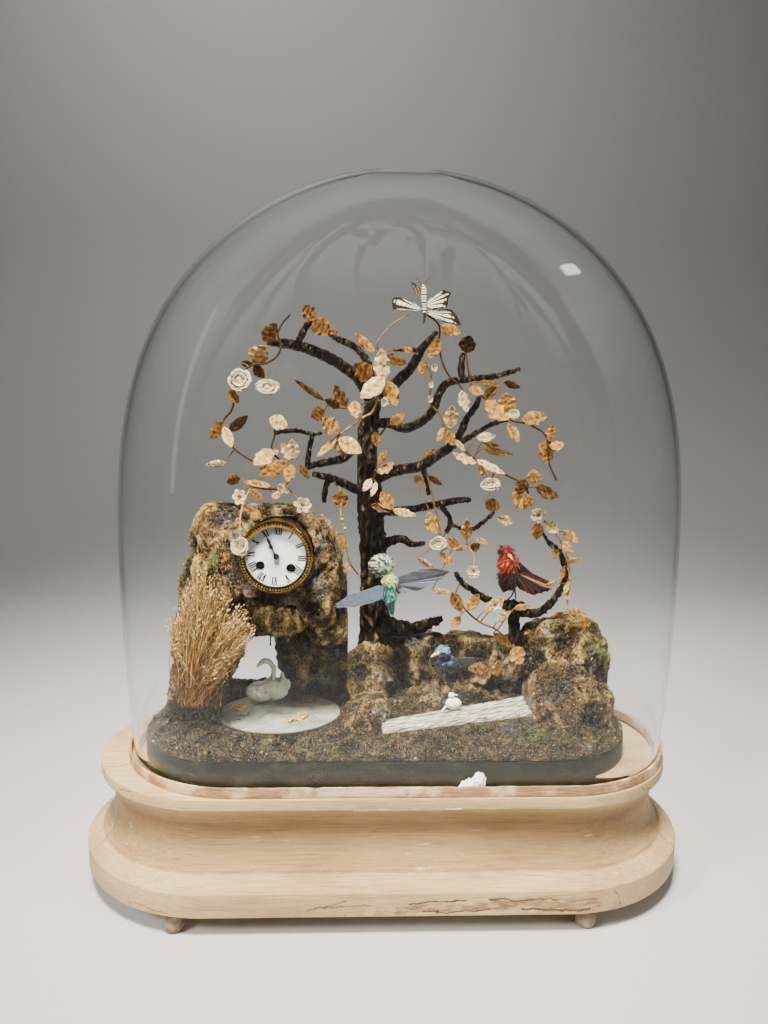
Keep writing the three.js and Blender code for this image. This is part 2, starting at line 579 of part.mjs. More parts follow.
// Sprays of gilt leaves. A leaf is where it starts, where its tip is, its width and its
// distance back; a blossom is its middle, half width, half height and distance back; a tie
// is the limb that bears the wire and where it holds it.
const sprays = {
  spray_far_left: {
    tie: ["branch_upper_left", 284, 344, -8],
    wire: [[290, 315, -16], [281, 326, -19], [278, 335, -22], [281, 344, -23], [278, 355, -24],
      [267, 363, -24], [249, 367, -24], [236, 385, -24], [232, 410, -22], [223, 422, -20],
      [226, 435, -20], [232, 446, -20], [244, 456, -22], [255, 462, -24]],
    leaves: [[263, 341, 278, 324, 14, -22], [253, 363, 265, 345, 16, -22],
      [254, 366, 264, 378, 10, -20], [229, 390, 238, 405, 9, -28], [229, 431, 249, 416, 10, -16],
      [223, 422, 211, 439, 12, -22], [224, 427, 232, 448, 10, -26], [226, 463, 206, 464, 6, -24]],
    blossoms: [[240, 380, 12, 12, -30], [268, 387, 13, 8, -26]],
  },
  spray_top_left: {
    tie: ["branch_upper_left", 315, 320, -12],
    wire: [[306, 322, -19], [314, 320, -20], [321, 323, -19]],
    leaves: [[314, 320, 304, 306, 14, -20], [314, 320, 328, 334, 16, -22],
      [326, 330, 338, 334, 9, -16]],
    blossoms: [],
  },
  spray_crown: {
    tie: ["trunk", 376, 400, 22],
    wire: [[381, 350, 2], [384, 365, -2], [384, 380, -6], [378, 397, -9], [362, 404, -11],
      [345, 408, -12], [328, 405, -13]],
    leaves: [[374, 352, 355, 334, 9, -4], [383, 380, 380, 350, 16, -10],
      [386, 356, 406, 365, 11, 2], [371, 380, 356, 363, 16, -3], [384, 378, 361, 399, 17, -16],
      [385, 381, 397, 405, 15, -12], [355, 401, 355, 419, 12, -18], [325, 401, 295, 380, 6, -8],
      [347, 407, 333, 387, 12, -8], [325, 410, 312, 418, 15, -8], [340, 408, 325, 398, 8, -16],
      [338, 433, 322, 418, 16, -22], [336, 438, 318, 458, 8, -20],
      [339, 439, 362, 453, 15, -22], [338, 440, 343, 456, 10, -14]],
    blossoms: [[385, 402, 7, 8, -18]],
    more: [{ at: [[378, 397, -9], [372, 412, -14], [362, 418, -17], [350, 427, -18],
      [338, 436, -18]], radius: 1.5 },
    { at: [[381, 352, 1], [377, 346, -4], [385, 332, -10], [394, 323, -14], [409, 315, -18]],
      radius: 0.7 }],
  },
  spray_trunk: {
    tie: ["trunk", 372, 440, 25],
    wire: [[388, 424, 6], [378, 440, 6], [376, 465, 6], [373, 485, 6], [378, 505, 6],
      [396, 512, 6]],
    leaves: [[390, 424, 404, 415, 10, 4], [375, 432, 378, 446, 9, 2], [378, 464, 387, 450, 7, 2],
      [378, 473, 394, 464, 10, 0], [371, 479, 364, 491, 8, 2], [392, 508, 380, 493, 14, -2],
      [371, 505, 394, 511, 9, 8], [393, 510, 415, 516, 9, 2]],
    blossoms: [],
  },
  spray_left: {
    tie: ["branch_left", 277, 433, -10],
    wire: [[272, 420, -18], [275, 433, -19], [272, 450, -20], [282, 462, -22], [290, 472, -24],
      [285, 486, -28], [270, 489, -30], [250, 486, -30]],
    leaves: [[270, 418, 288, 427, 14, -22], [272, 450, 255, 466, 16, -24],
      [293, 459, 282, 444, 12, -18], [294, 458, 293, 439, 12, -26], [287, 462, 261, 476, 14, -32],
      [275, 464, 260, 470, 8, -20], [293, 465, 286, 482, 11, -36], [300, 464, 309, 479, 7, -28],
      [278, 485, 289, 492, 9, -40], [271, 486, 244, 482, 7, -36], [240, 478, 226, 481, 9, -26],
      [251, 490, 264, 501, 8, -40]],
    blossoms: [[240, 497, 8, 9, -40], [303, 505, 10, 9, -46], [241, 546, 9, 10, -83]],
    more: [{ at: [[252, 486, -30], [243, 505, -58], [240, 528, -80], [241, 542, -83]],
      radius: 1 }],
  },
  spray_hanging: {
    tie: ["branch_left_low", 333, 480, 9],
    wire: [[337, 486, -2], [341, 492, -4], [341, 515, -6], [344, 528, -6], [347, 549, -6],
      [350, 562, -4], [358, 574, 6]],
    leaves: [[341, 491, 340, 507, 15, -8], [334, 536, 346, 549, 12, -8],
      [350, 565, 335, 573, 12, -8]],
    blossoms: [[342, 519, 2.4, 2.4, -7], [345, 528, 2.4, 2.4, -7]],
  },
  spray_butterfly: {
    tie: ["branch_upper_right", 434, 336, 9],
    wire: [[427, 315, -14], [439, 326, -6], [439, 340, -4], [440, 353, -6], [444, 367, -8],
      [450, 377, -8], [460, 386, -10], [463, 393, -12]],
    leaves: [[440, 327, 460, 334, 12, -4], [439, 339, 431, 359, 12, -8],
      [461, 391, 466, 412, 11, -14]],
    blossoms: [],
  },
  spray_buds: {
    tie: ["branch_right_high", 433, 410, 8],
    wire: [[424, 360, -6], [430, 372, -8], [431, 385, -8], [430, 402, -8], [440, 415, -10],
      [446, 430, -13], [453, 437, -14]],
    leaves: [[450, 428, 452, 405, 14, -14], [444, 431, 455, 444, 10, -20],
      [455, 440, 464, 451, 6, -22], [424, 362, 420, 377, 8, -10]],
    blossoms: [[434, 368, 6, 7, -10], [431, 385, 4, 6, -9], [430, 399, 5, 7, -9]],
  },
  spray_right_high: {
    tie: ["branch_right_high", 470, 379, -1],
    wire: [[470, 388, -16], [484, 398, -20], [497, 410, -27], [510, 420, -30], [530, 425, -30],
      [548, 440, -30], [548, 460, -30], [556, 480, -28]],
    leaves: [[469, 388, 484, 394, 9, -20], [484, 399, 496, 386, 9, -16],
      [508, 412, 506, 393, 17, -24], [485, 402, 506, 421, 18, -34], [522, 420, 546, 416, 13, -32],
      [549, 441, 552, 425, 10, -32], [550, 441, 541, 463, 17, -26], [550, 447, 563, 445, 10, -34],
      [508, 424, 520, 442, 8, -34], [466, 353, 468, 336, 17, -8]],
    blossoms: [[513, 414, 6, 5, -38]],
    more: [{ at: [[471, 388, -16], [468, 370, -12], [466, 353, -8]], radius: 1 }],
  },
  spray_right: {
    tie: ["branch_right", 455, 443, -1],
    wire: [[462, 449, -12], [477, 460, -20], [495, 470, -24], [512, 478, -26], [524, 485, -28],
      [530, 500, -28]],
    leaves: [[477, 438, 496, 436, 9, -24], [476, 463, 452, 455, 9, -24],
      [477, 460, 504, 475, 8, -30], [479, 463, 485, 476, 9, -20], [482, 449, 512, 455, 7, -18],
      [527, 477, 543, 476, 12, -32], [535, 487, 557, 498, 13, -26], [525, 479, 517, 494, 13, -34],
      [513, 492, 523, 508, 8, -28], [525, 494, 532, 507, 10, -34]],
    blossoms: [[490, 484, 11, 7, -32]],
  },
  spray_right_low: {
    tie: ["branch_right_low", 446, 532, 28],
    wire: [[440, 540, 8], [452, 549, 4], [466, 546, 0], [474, 558, -2], [474, 570, -4]],
    leaves: [[436, 533, 428, 512, 15, 8], [467, 540, 465, 518, 12, -2], [475, 538, 487, 544, 6, -2],
      [448, 538, 461, 551, 10, 12], [440, 553, 452, 563, 8, 2], [417, 558, 435, 568, 5, 8],
      [470, 549, 480, 545, 9, 4]],
    blossoms: [[438, 543, 10, 8, 2], [473, 571, 8, 8, -8]],
  },
  spray_right_arch: {
    tie: ["perch_stump", 565, 578, 12],
    wire: [[540, 518, 0], [552, 530, -2], [562, 545, -2], [568, 562, -2], [570, 580, -4],
      [567, 600, -4], [568, 612, -6], [577, 622, -6]],
    leaves: [[546, 522, 557, 533, 13, -8], [563, 531, 577, 541, 10, 2], [538, 522, 536, 539, 12, 2],
      [563, 541, 571, 554, 10, -8], [565, 561, 579, 559, 6, 2], [563, 567, 560, 580, 6, -8],
      [558, 583, 545, 584, 6, -6], [563, 612, 552, 618, 7, -8], [567, 610, 585, 613, 9, 0],
      [577, 622, 590, 622, 12, -8], [572, 622, 563, 632, 7, -8]],
    blossoms: [[538, 515, 9, 9, -4]],
  },
  spray_low: {
    tie: ["perch_stump", 460, 582, 22],
    wire: [[455, 594, 12], [466, 610, 10], [480, 622, 8], [497, 630, 6], [510, 644, 6]],
    leaves: [[452, 592, 461, 612, 12, 6], [460, 616, 452, 628, 8, 10], [467, 610, 479, 594, 12, 4],
      [485, 610, 504, 600, 12, 4], [497, 622, 510, 610, 8, 0], [493, 633, 510, 645, 9, 12],
      [514, 647, 519, 663, 19, -2], [488, 669, 468, 667, 12, -16],
      [497, 675, 495.5, 660, 14, -18]],
    blossoms: [[495, 605, 8, 8, 0]],
    more: [{ at: [[509, 643, 6], [505, 658, -6], [490, 668, -15]], radius: 0.9 }],
  },
};

function spray(name) {
  const { wire, leaves, blossoms, tie, more = [] } = sprays[name];
  const path = route(wire);
  const held = seen(tie[1], tie[2], tie[3]);
  const body = [limb(path, [1.6, 1.6], 3), limb([nearest(path, held), held], [1.1, 1.1], 3)];
  more.forEach(({ at, radius }) => body.push(limb(route(at), [radius, radius], 3)));
  const second = more.length ? route(more[0].at) : path;
  leaves.forEach(([px, py, tipX, tipY, width, y], i) => {
    const foot = seen(px, py, y);
    const lean = 5 * Math.sin(i * 2.3 + px);
    const tip = seen(tipX, tipY, y + lean);
    const roots = [nearest(path, foot), nearest(second, foot)];
    const root = roots[0].distanceTo(foot) <= roots[1].distanceTo(foot) ? roots[0] : roots[1];
    body.push(leaf(root, foot, tip, width, 0.5 * Math.sin(i * 1.7)));
  });
  blossoms.forEach(([px, py, halfWidth, halfHeight, y]) => {
    const at = seen(px, py, y);
    const middle = [at.x, at.y, at.z];
    body.push(lump(middle, [halfWidth, Math.min(halfWidth, halfHeight), halfHeight], 0.6, 5, 3));
    body.push(limb([nearest(path, at), at], [0.9, 0.9], 3));
  });
  return join(body).subtract(limbGroup(tie[0], clear));
}

for (const name of Object.keys(sprays)) {
  add(name, biggest(spray(name).subtract(clockRockClear)), "gold");
}

// A thin sheet: an outline of picture places, its thickness back to front, leaning in depth.
function sheet(outline, y, thick, lean = 0) {
  const places = outline.map(([px, py]) => seen(px, py, y));
  const shape = new THREE.Shape(places.map((at) => new THREE.Vector2(at.x, at.z)));
  const body = new THREE.ExtrudeGeometry(shape, { depth: thick, bevelEnabled: false });
  body.rotateX(Math.PI / 2).translate(0, y + thick / 2, 0);
  const place = body.attributes.position;
  const start = places[0].x;
  for (let i = 0; i < place.count; i += 1) {
    place.setY(i, place.getY(i) + lean * Math.abs(place.getX(i) - start));
  }
  return solid(body);
}

function plump(px, py, y, halfWidth, halfHeight, halfDepth = Math.min(halfWidth, halfHeight)) {
  const at = seen(px, py, y);
  return ball([at.x, at.y, at.z], [halfWidth, halfDepth, halfHeight], 7, 5);
}

function strand(places, radii, sides = 4) {
  return limb(route(places), radii, sides);
}

// The butterfly faces the front with its wings held wide.
function butterfly() {
  const y = -20;
  return join([
    strand([[422.7, 284, y], [424, 299, y], [424.5, 312, y], [423.4, 325, y]], [1.6, 2.8, 2.2, 0.8], 6),
    sheet([[423, 311], [417, 305], [408, 300.5], [396, 298], [391, 302], [393, 311], [402, 309.5],
      [412, 312]], y, 1, -0.25),
    sheet([[423.5, 303], [415, 294], [410.5, 280], [417, 284], [423.5, 294]], y + 1, 1, 0.5),
    sheet([[424, 309], [427, 301], [437, 294], [443, 290], [451, 293.5], [448, 300], [447, 308],
      [436, 309.5]], y, 1, -0.12),
    sheet([[424, 309], [436, 308.6], [446, 309.5], [457, 317], [461.5, 326.5], [447, 323.5],
      [437, 320]], y + 0.4, 1, -0.05),
  ]);
}

function hummingbird() {
  const y = -15;
  return join([
    plump(390, 582, y, 8.5, 8.5),
    plump(389.5, 594, y, 8, 11.5, 8),
    plump(382, 566, y + 8, 13, 12, 9),
    strand([[384, 570, y + 6], [380, 566, y + 20], [376, 562, 40]], [3, 2.4, 1.6]),
    strand([[388, 582, y - 4], [384, 590, y - 12], [383, 600, y - 16]], [1.6, 1, 0.5]),
    sheet([[387, 586], [378, 584], [366, 586.5], [350, 589], [337, 596], [336.5, 600], [352, 601],
      [368, 600.5], [384, 598]], y, 1.2, -0.62),
    sheet([[390, 580], [405, 574.5], [421, 569.2], [437, 569.2], [450, 572], [441, 580],
      [423, 589], [403.5, 593.5], [390, 594]], y, 1.2, 0.1),
    strand([[390, 600, y], [391.5, 607, y + 2], [392, 613, y + 4]], [4, 3, 1.5]),
  ]);
}

function redBird() {
  const y = 25;
  return join([
    plump(505.5, 551, y - 4, 8.2, 8),
    plump(508, 563, y - 2, 12, 12, 11),
    plump(508.5, 577, y, 12, 13, 11),
    strand([[508, 554, y - 8], [511, 557, y - 15], [512.5, 560, y - 19]], [2.4, 1.6, 0.6]),
    sheet([[504, 570], [520, 562], [533, 574], [553.5, 583], [553, 591], [546, 593], [533, 596],
      [520, 590]], y, 3, 0.15),
    sheet([[513, 576], [501, 576], [497.5, 584], [503, 593], [513, 588]], y, 2, 0.1),
    strand([[512, 586, y], [513, 592, y - 1], [507, 600.5, y]], [1, 0.8, 0.8], 3),
    strand([[514, 586, y], [515, 592, y], [515.5, 599, y]], [1, 0.8, 0.8], 3),
  ]);
}

function blueBird() {
  const y = 10;
  return join([
    plump(442.4, 653, y - 3, 7.6, 7.6),
    plump(447.5, 665, y, 13.5, 9, 9),
    strand([[438, 653, y - 8], [434, 654.5, y - 12], [430.5, 657, y - 15]], [2.4, 1.6, 0.6]),
    sheet([[452, 660], [462, 657.5], [475, 658], [474.5, 665], [464, 668], [452, 670]], y, 3, 0.15),
    strand([[447, 670, y], [447.6, 682, y], [444.7, 689.5, y - 1]], [1, 0.8, 0.8], 3),
    strand([[457, 668, y + 1], [461, 677, y + 1], [464.5, 686.5, y + 1]], [1, 0.8, 0.8], 3),
  ]);
}

function chick() {
  const y = -28;
  return join([
    plump(451.3, 695, y, 3.3, 3.3),
    plump(453.3, 703, y, 8.5, 6.6, 6.5),
    strand([[452, 694.6, y - 1], [455, 694.4, y - 1], [458, 694.6, y - 1]], [1.2, 0.8, 0.4]),
    strand([[446, 706, y], [442, 710, y - 1], [438, 713, y - 2]], [1.4, 0.9, 0.4]),
  ]);
}

function swan() {
  const y = 10;
  const body = join([
    plump(261, 691, y, 16.5, 11.5, 12),
    plump(276, 690, y, 13.5, 10.5, 11),
    plump(287, 684, y, 4.5, 6.5, 5),
    strand([[281, 690, y], [282.6, 680, y], [283, 671, y]], [4.5, 3.6, 1], 5),
    strand([[262, 688, y], [269.5, 681, y - 1], [274, 672, y - 2], [271, 663, y - 3],
      [264.5, 660.5, y - 4], [260.5, 663, y - 5]], [5, 3.6, 3, 3.2, 3.6, 2.6], 6),
    strand([[261, 663, y - 5], [258, 665.5, y - 6], [257, 667, y - 7]], [2.4, 1.6, 0.6]),
  ]);
  return biggest(body.subtract(pondClear).subtract(clockRockClear));
}

// Dried grass stands before the clock rock; its form reaches the ends of the stems.
function grassBush() {
  const tuft = (px, py, y, w, h, d) => {
    const at = seen(px, py, y);
    return lump([at.x, at.y, at.z], [w, d, h], 3, 7, 4);
  };
  const body = join([
    tuft(196, 690, -62, 15, 26, 13), tuft(199, 660, -62, 22, 30, 17),
    tuft(210, 628, -60, 34, 36, 19), tuft(203, 592, -56, 21, 32, 15),
    tuft(236, 622, -58, 22, 19, 14), tuft(184, 622, -58, 14, 26, 12),
    strand([[190, 630, -58], [172, 624, -58], [154, 622, -58]], [4, 3, 2]),
    strand([[196, 590, -56], [200, 568, -54], [204, 556, -52]], [8, 5, 1.5]),
  ]);
  const limits = prism(stadium(board.straight, board.end - 1, board.x), boardTop + 1, 400, 8);
  return biggest(body.intersect(limits).subtract(clockRockClear).subtract(groundClear)
    .subtract(clockSpace));
}

// Where the sight line through a picture place meets a level plane.
function lying(px, py, z) {
  const near = seen(px, py, -100);
  const far = seen(px, py, 100);
  return near.lerp(far, (z - near.z) / (far.z - near.z));
}

function looseLeaf(foot, tip, width) {
  const floor = pond.z + pond.thick + gap + 0.9;
  const from = lying(foot[0], foot[1], floor);
  const to = lying(tip[0], tip[1], floor);
  const side = width / 2;
  const middle = from.clone().lerp(to, 0.45);
  return ball([middle.x, middle.y, floor + 1.4], [from.distanceTo(to) / 2, side, 1.3], 8, 4);
}

const clockSpace = disc(clock.bezel + 1, clock.face - 9, clock.face + 12);
const straw = grassBush();
add("grass_bush", straw, "straw");
add("butterfly", butterfly(), "wing");
add("hummingbird", biggest(hummingbird().subtract(trunkClear)), "teal");
add("red_bird", biggest(redBird().subtract(stumpClear)), "red");
add("blue_bird", biggest(blueBird().subtract(groundClear).subtract(rockClear)), "feather");
add("chick", biggest(chick().subtract(rodsClear)), "cream");
add("swan", swan(), "cream");
add("fallen_leaf_left", looseLeaf([231, 709], [251, 705], 9), "gold");
add("fallen_leaf_right", looseLeaf([302, 699], [319, 699], 11), "gold");
add("fallen_leaf_front", looseLeaf([281, 719], [308, 716], 9), "gold");

// A broken shell-like ornament of two lobes lies on the base before the board.
function shellFragment() {
  const shape = join([plump(466.5, 784, -107, 8.2, 5, 5.5), plump(478.5, 779.5, -105, 6.2, 7.4, 5)]);
  return shape.subtract(prism(stadium(base.straight, base.topEnd), 100, base.top + gap));
}
add("shell_fragment", biggest(shellFragment()), "cream");

export default part;
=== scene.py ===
# A mounted butterfly and four small birds on a gilt-leaved tree, with a clock set in
# rockwork, under an oval glass dome on a moulded wooden base. Metres, in the CAD frame.
import bpy
import bmesh
import math
import random
from mathutils import Matrix, Vector, noise


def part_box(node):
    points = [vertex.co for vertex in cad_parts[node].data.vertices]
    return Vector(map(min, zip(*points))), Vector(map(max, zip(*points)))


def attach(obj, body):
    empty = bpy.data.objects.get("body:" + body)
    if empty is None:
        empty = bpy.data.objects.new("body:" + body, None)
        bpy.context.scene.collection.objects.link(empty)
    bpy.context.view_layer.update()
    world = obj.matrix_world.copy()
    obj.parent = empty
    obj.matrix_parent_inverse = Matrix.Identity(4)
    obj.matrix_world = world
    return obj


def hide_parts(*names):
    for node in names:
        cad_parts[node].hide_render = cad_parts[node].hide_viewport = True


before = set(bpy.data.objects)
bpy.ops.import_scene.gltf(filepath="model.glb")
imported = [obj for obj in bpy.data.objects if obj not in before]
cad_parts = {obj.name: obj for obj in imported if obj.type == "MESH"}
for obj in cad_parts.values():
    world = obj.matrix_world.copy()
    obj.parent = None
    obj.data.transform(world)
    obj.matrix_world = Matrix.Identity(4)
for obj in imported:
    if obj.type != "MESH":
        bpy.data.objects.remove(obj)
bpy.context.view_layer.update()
mm = 0.001
tableau = "tableau"

# The photo's view: the eye is 775 mm in front of the middle plane, looking a little down.
view = {"eye": (-27.04, -775.0, 468.3), "down": 7.518, "right": 1.818, "roll": 0.495,
        "focal": 774.1, "middle": (384, 512)}


def viewAxes():
    down, right, roll = (math.radians(view[k]) for k in ("down", "right", "roll"))
    ahead = Vector((math.sin(right) * math.cos(down), math.cos(right) * math.cos(down),
                    -math.sin(down)))
    level = Vector((math.cos(right), -math.sin(right), 0))
    upright = level.cross(ahead)
    across = level * math.cos(roll) + upright * math.sin(roll)
    upward = upright * math.cos(roll) - level * math.sin(roll)
    return ahead, across, upward


ahead, across, upward = viewAxes()


def seen(px, py, y):
    ray = (ahead + across * ((px - view["middle"][0]) / view["focal"])
           - upward * ((py - view["middle"][1]) / view["focal"]))
    eye = Vector(view["eye"])
    return (eye + ray * ((y - eye.y) / ray.y)) * mm


def makeCamera():
    data = bpy.data.cameras.new("camera")
    data.lens = view["focal"] / 1024 * 36
    data.sensor_width = 36
    data.clip_start = 0.01
    camera = bpy.data.objects.new("camera", data)
    bpy.context.scene.collection.objects.link(camera)
    turn = Matrix((across, upward, -ahead)).transposed().to_4x4()
    camera.matrix_world = Matrix.Translation(Vector(view["eye"]) * mm) @ turn
    bpy.context.scene.camera = camera


makeCamera()
print("camera placed")


def rgb(r, g, b):
    def straight(v):
        v = v / 255
        return v / 12.92 if v <= 0.04045 else ((v + 0.055) / 1.055) ** 2.4
    return (straight(r), straight(g), straight(b), 1)


def deselect():
    if bpy.context.object and bpy.context.object.mode != "OBJECT":
        bpy.ops.object.mode_set(mode="OBJECT")
    bpy.ops.object.select_all(action="DESELECT")


def pick(*things):
    deselect()
    for thing in things:
        thing.select_set(True)
    bpy.context.view_layer.objects.active = things[0]
    return things[0]


def settle(piece):
    pick(piece)
    bpy.ops.object.transform_apply(location=True, rotation=True, scale=True)
    return piece


def joined(things, name):
    piece = pick(*things)
    if len(things) > 1:
        bpy.ops.object.join()
    piece.name = name
    piece.data.name = name
    return piece


def camel(name, ending):
    first, *rest = name.split("_")
    return first + "".join(word.title() for word in rest) + ending


def chooseVerts(piece, test):
    bpy.ops.mesh.select_mode(type="VERT")
    bpy.ops.mesh.select_all(action="DESELECT")
    net = bmesh.from_edit_mesh(piece.data)
    for vert in net.verts:
        vert.select = bool(test(vert.co))
    net.select_flush(True)
    bmesh.update_edit_mesh(piece.data)


def chooseFaces(piece, test):
    bpy.ops.mesh.select_mode(type="FACE")
    bpy.ops.mesh.select_all(action="DESELECT")
    net = bmesh.from_edit_mesh(piece.data)
    for face in net.faces:
        face.select = bool(test(face))
    bmesh.update_edit_mesh(piece.data)


def outward(piece):
    pick(piece)
    bpy.ops.object.mode_set(mode="EDIT")
    bpy.ops.mesh.select_all(action="SELECT")
    bpy.ops.mesh.remove_doubles(threshold=0.00001)
    bpy.ops.mesh.normals_make_consistent(inside=False)
    bpy.ops.object.mode_set(mode="OBJECT")
    return piece


def modify(piece, kind, **values):
    pick(piece)
    mod = piece.modifiers.new(kind.lower(), kind)
    for key, value in values.items():
        setattr(mod, key, value)
    bpy.ops.object.modifier_apply(modifier=mod.name)
    return piece


def grain(kind, size, **values):
    texture = bpy.data.textures.new("grain", kind)
    texture.noise_scale = size * mm
    for key, value in values.items():
        setattr(texture, key, value)
    return texture


def roughen(piece, size, height, kind="CLOUDS", **values):
    return modify(piece, "DISPLACE", texture=grain(kind, size, **values), strength=height * mm,
                  mid_level=0.5, texture_coords="LOCAL")


# Pushes a skin out by layered noise and records the height as the tone: painted shade in the hollows,
# painted light on the tops.
def relief(piece, layers, stretch=(1, 1, 1), shade=1.0, still=None):
    mesh = piece.data
    total = sum(height for size, height, kind in layers)
    tones, moved = [], []
    for vert in mesh.vertices:
        at = Vector((vert.co[k] / mm / stretch[k] for k in range(3)))
        push = 0
        for size, height, kind in layers:
            if kind == "crag":
                push += height * (noise.ridged_multi_fractal(at / size, 1.0, 2.1, 4, 1.0, 2.0) / 1.6
                                  - 0.5)
            else:
                push += height * noise.noise(at / size)
        free = still(vert.co) if still else 1
        moved.append(vert.co + vert.normal * push * free * mm)
        # The tone paints shade into the hollows and light onto the high points.
        tones.append(min(1, max(0, 0.5 + shade * push / total)))
    for vert, at in zip(mesh.vertices, moved):
        vert.co = at
    mark = mesh.attributes.get("tone") or mesh.attributes.new("tone", "FLOAT", "POINT")
    mark.data.foreach_set("value", tones)
    mesh.update()
    return piece


def smooth(piece, angle=None):
    pick(piece)
    if angle is None:
        bpy.ops.object.shade_smooth()
    else:
        bpy.ops.object.shade_smooth_by_angle(angle=math.radians(angle))
    return piece


def handIn(piece, slot, *nodes, body=tableau, paint=None):
    if paint is not None:
        piece.data.materials.clear()
        piece.data.materials.append(paint)
    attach(piece, body)
    if nodes:
        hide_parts(*nodes)
    return piece


def setTone(mesh, value):
    mark = mesh.attributes.get("tone") or mesh.attributes.new("tone", "FLOAT", "POINT")
    mark.data.foreach_set("value", [value] * len(mesh.vertices))


def linked(mesh, name="piece"):
    thing = bpy.data.objects.new(name, mesh)
    bpy.context.scene.collection.objects.link(thing)
    return thing


# Materials: each is noise and ramps on object coordinates, or on the tone each copy carries.
# The patina group gives a noise mask, its height, and a colour darkened by it.
def makePatina():
    group = bpy.data.node_groups.new("patina", "ShaderNodeTree")
    sockets = (("Vector", "Vector", None), ("Colour", "Color", (1, 1, 1, 1)),
               ("Dark", "Color", (0, 0, 0, 1)), ("Light", "Color", (1, 1, 1, 1)),
               ("Scale", "Float", 20), ("Detail", "Float", 5), ("Roughness", "Float", 0.6),
               ("Low", "Float", 0.4), ("High", "Float", 0.6), ("Amount", "Float", 0))
    for name, kind, value in sockets:
        socket = group.interface.new_socket(name=name, in_out="INPUT",
                                            socket_type="NodeSocket" + kind)
        if value is not None:
            socket.default_value = value
    for name, kind in (("Colour", "Color"), ("Mask", "Float"), ("Height", "Float")):
        group.interface.new_socket(name=name, in_out="OUTPUT", socket_type="NodeSocket" + kind)
    into, out, cloud, reach, shade, worn = (group.nodes.new(kind) for kind in (
        "NodeGroupInput", "NodeGroupOutput", "ShaderNodeTexNoise", "ShaderNodeMapRange",
        "ShaderNodeMix", "ShaderNodeMix"))
    shade.data_type = worn.data_type = "RGBA"
    worn.blend_type = "MULTIPLY"
    for name in ("Vector", "Scale", "Detail", "Roughness"):
        group.links.new(into.outputs[name], cloud.inputs[name])
    for start, end in (
            (cloud.outputs["Fac"], reach.inputs["Value"]),
            (into.outputs["Low"], reach.inputs["From Min"]),
            (into.outputs["High"], reach.inputs["From Max"]),
            (reach.outputs["Result"], shade.inputs[0]), (into.outputs["Dark"], shade.inputs[6]),
            (into.outputs["Light"], shade.inputs[7]), (into.outputs["Amount"], worn.inputs[0]),
            (into.outputs["Colour"], worn.inputs[6]), (shade.outputs[2], worn.inputs[7]),
            (worn.outputs[2], out.inputs["Colour"]), (reach.outputs["Result"], out.inputs["Mask"]),
            (cloud.outputs["Fac"], out.inputs["Height"])):
        group.links.new(start, end)
    return group


patina = makePatina()


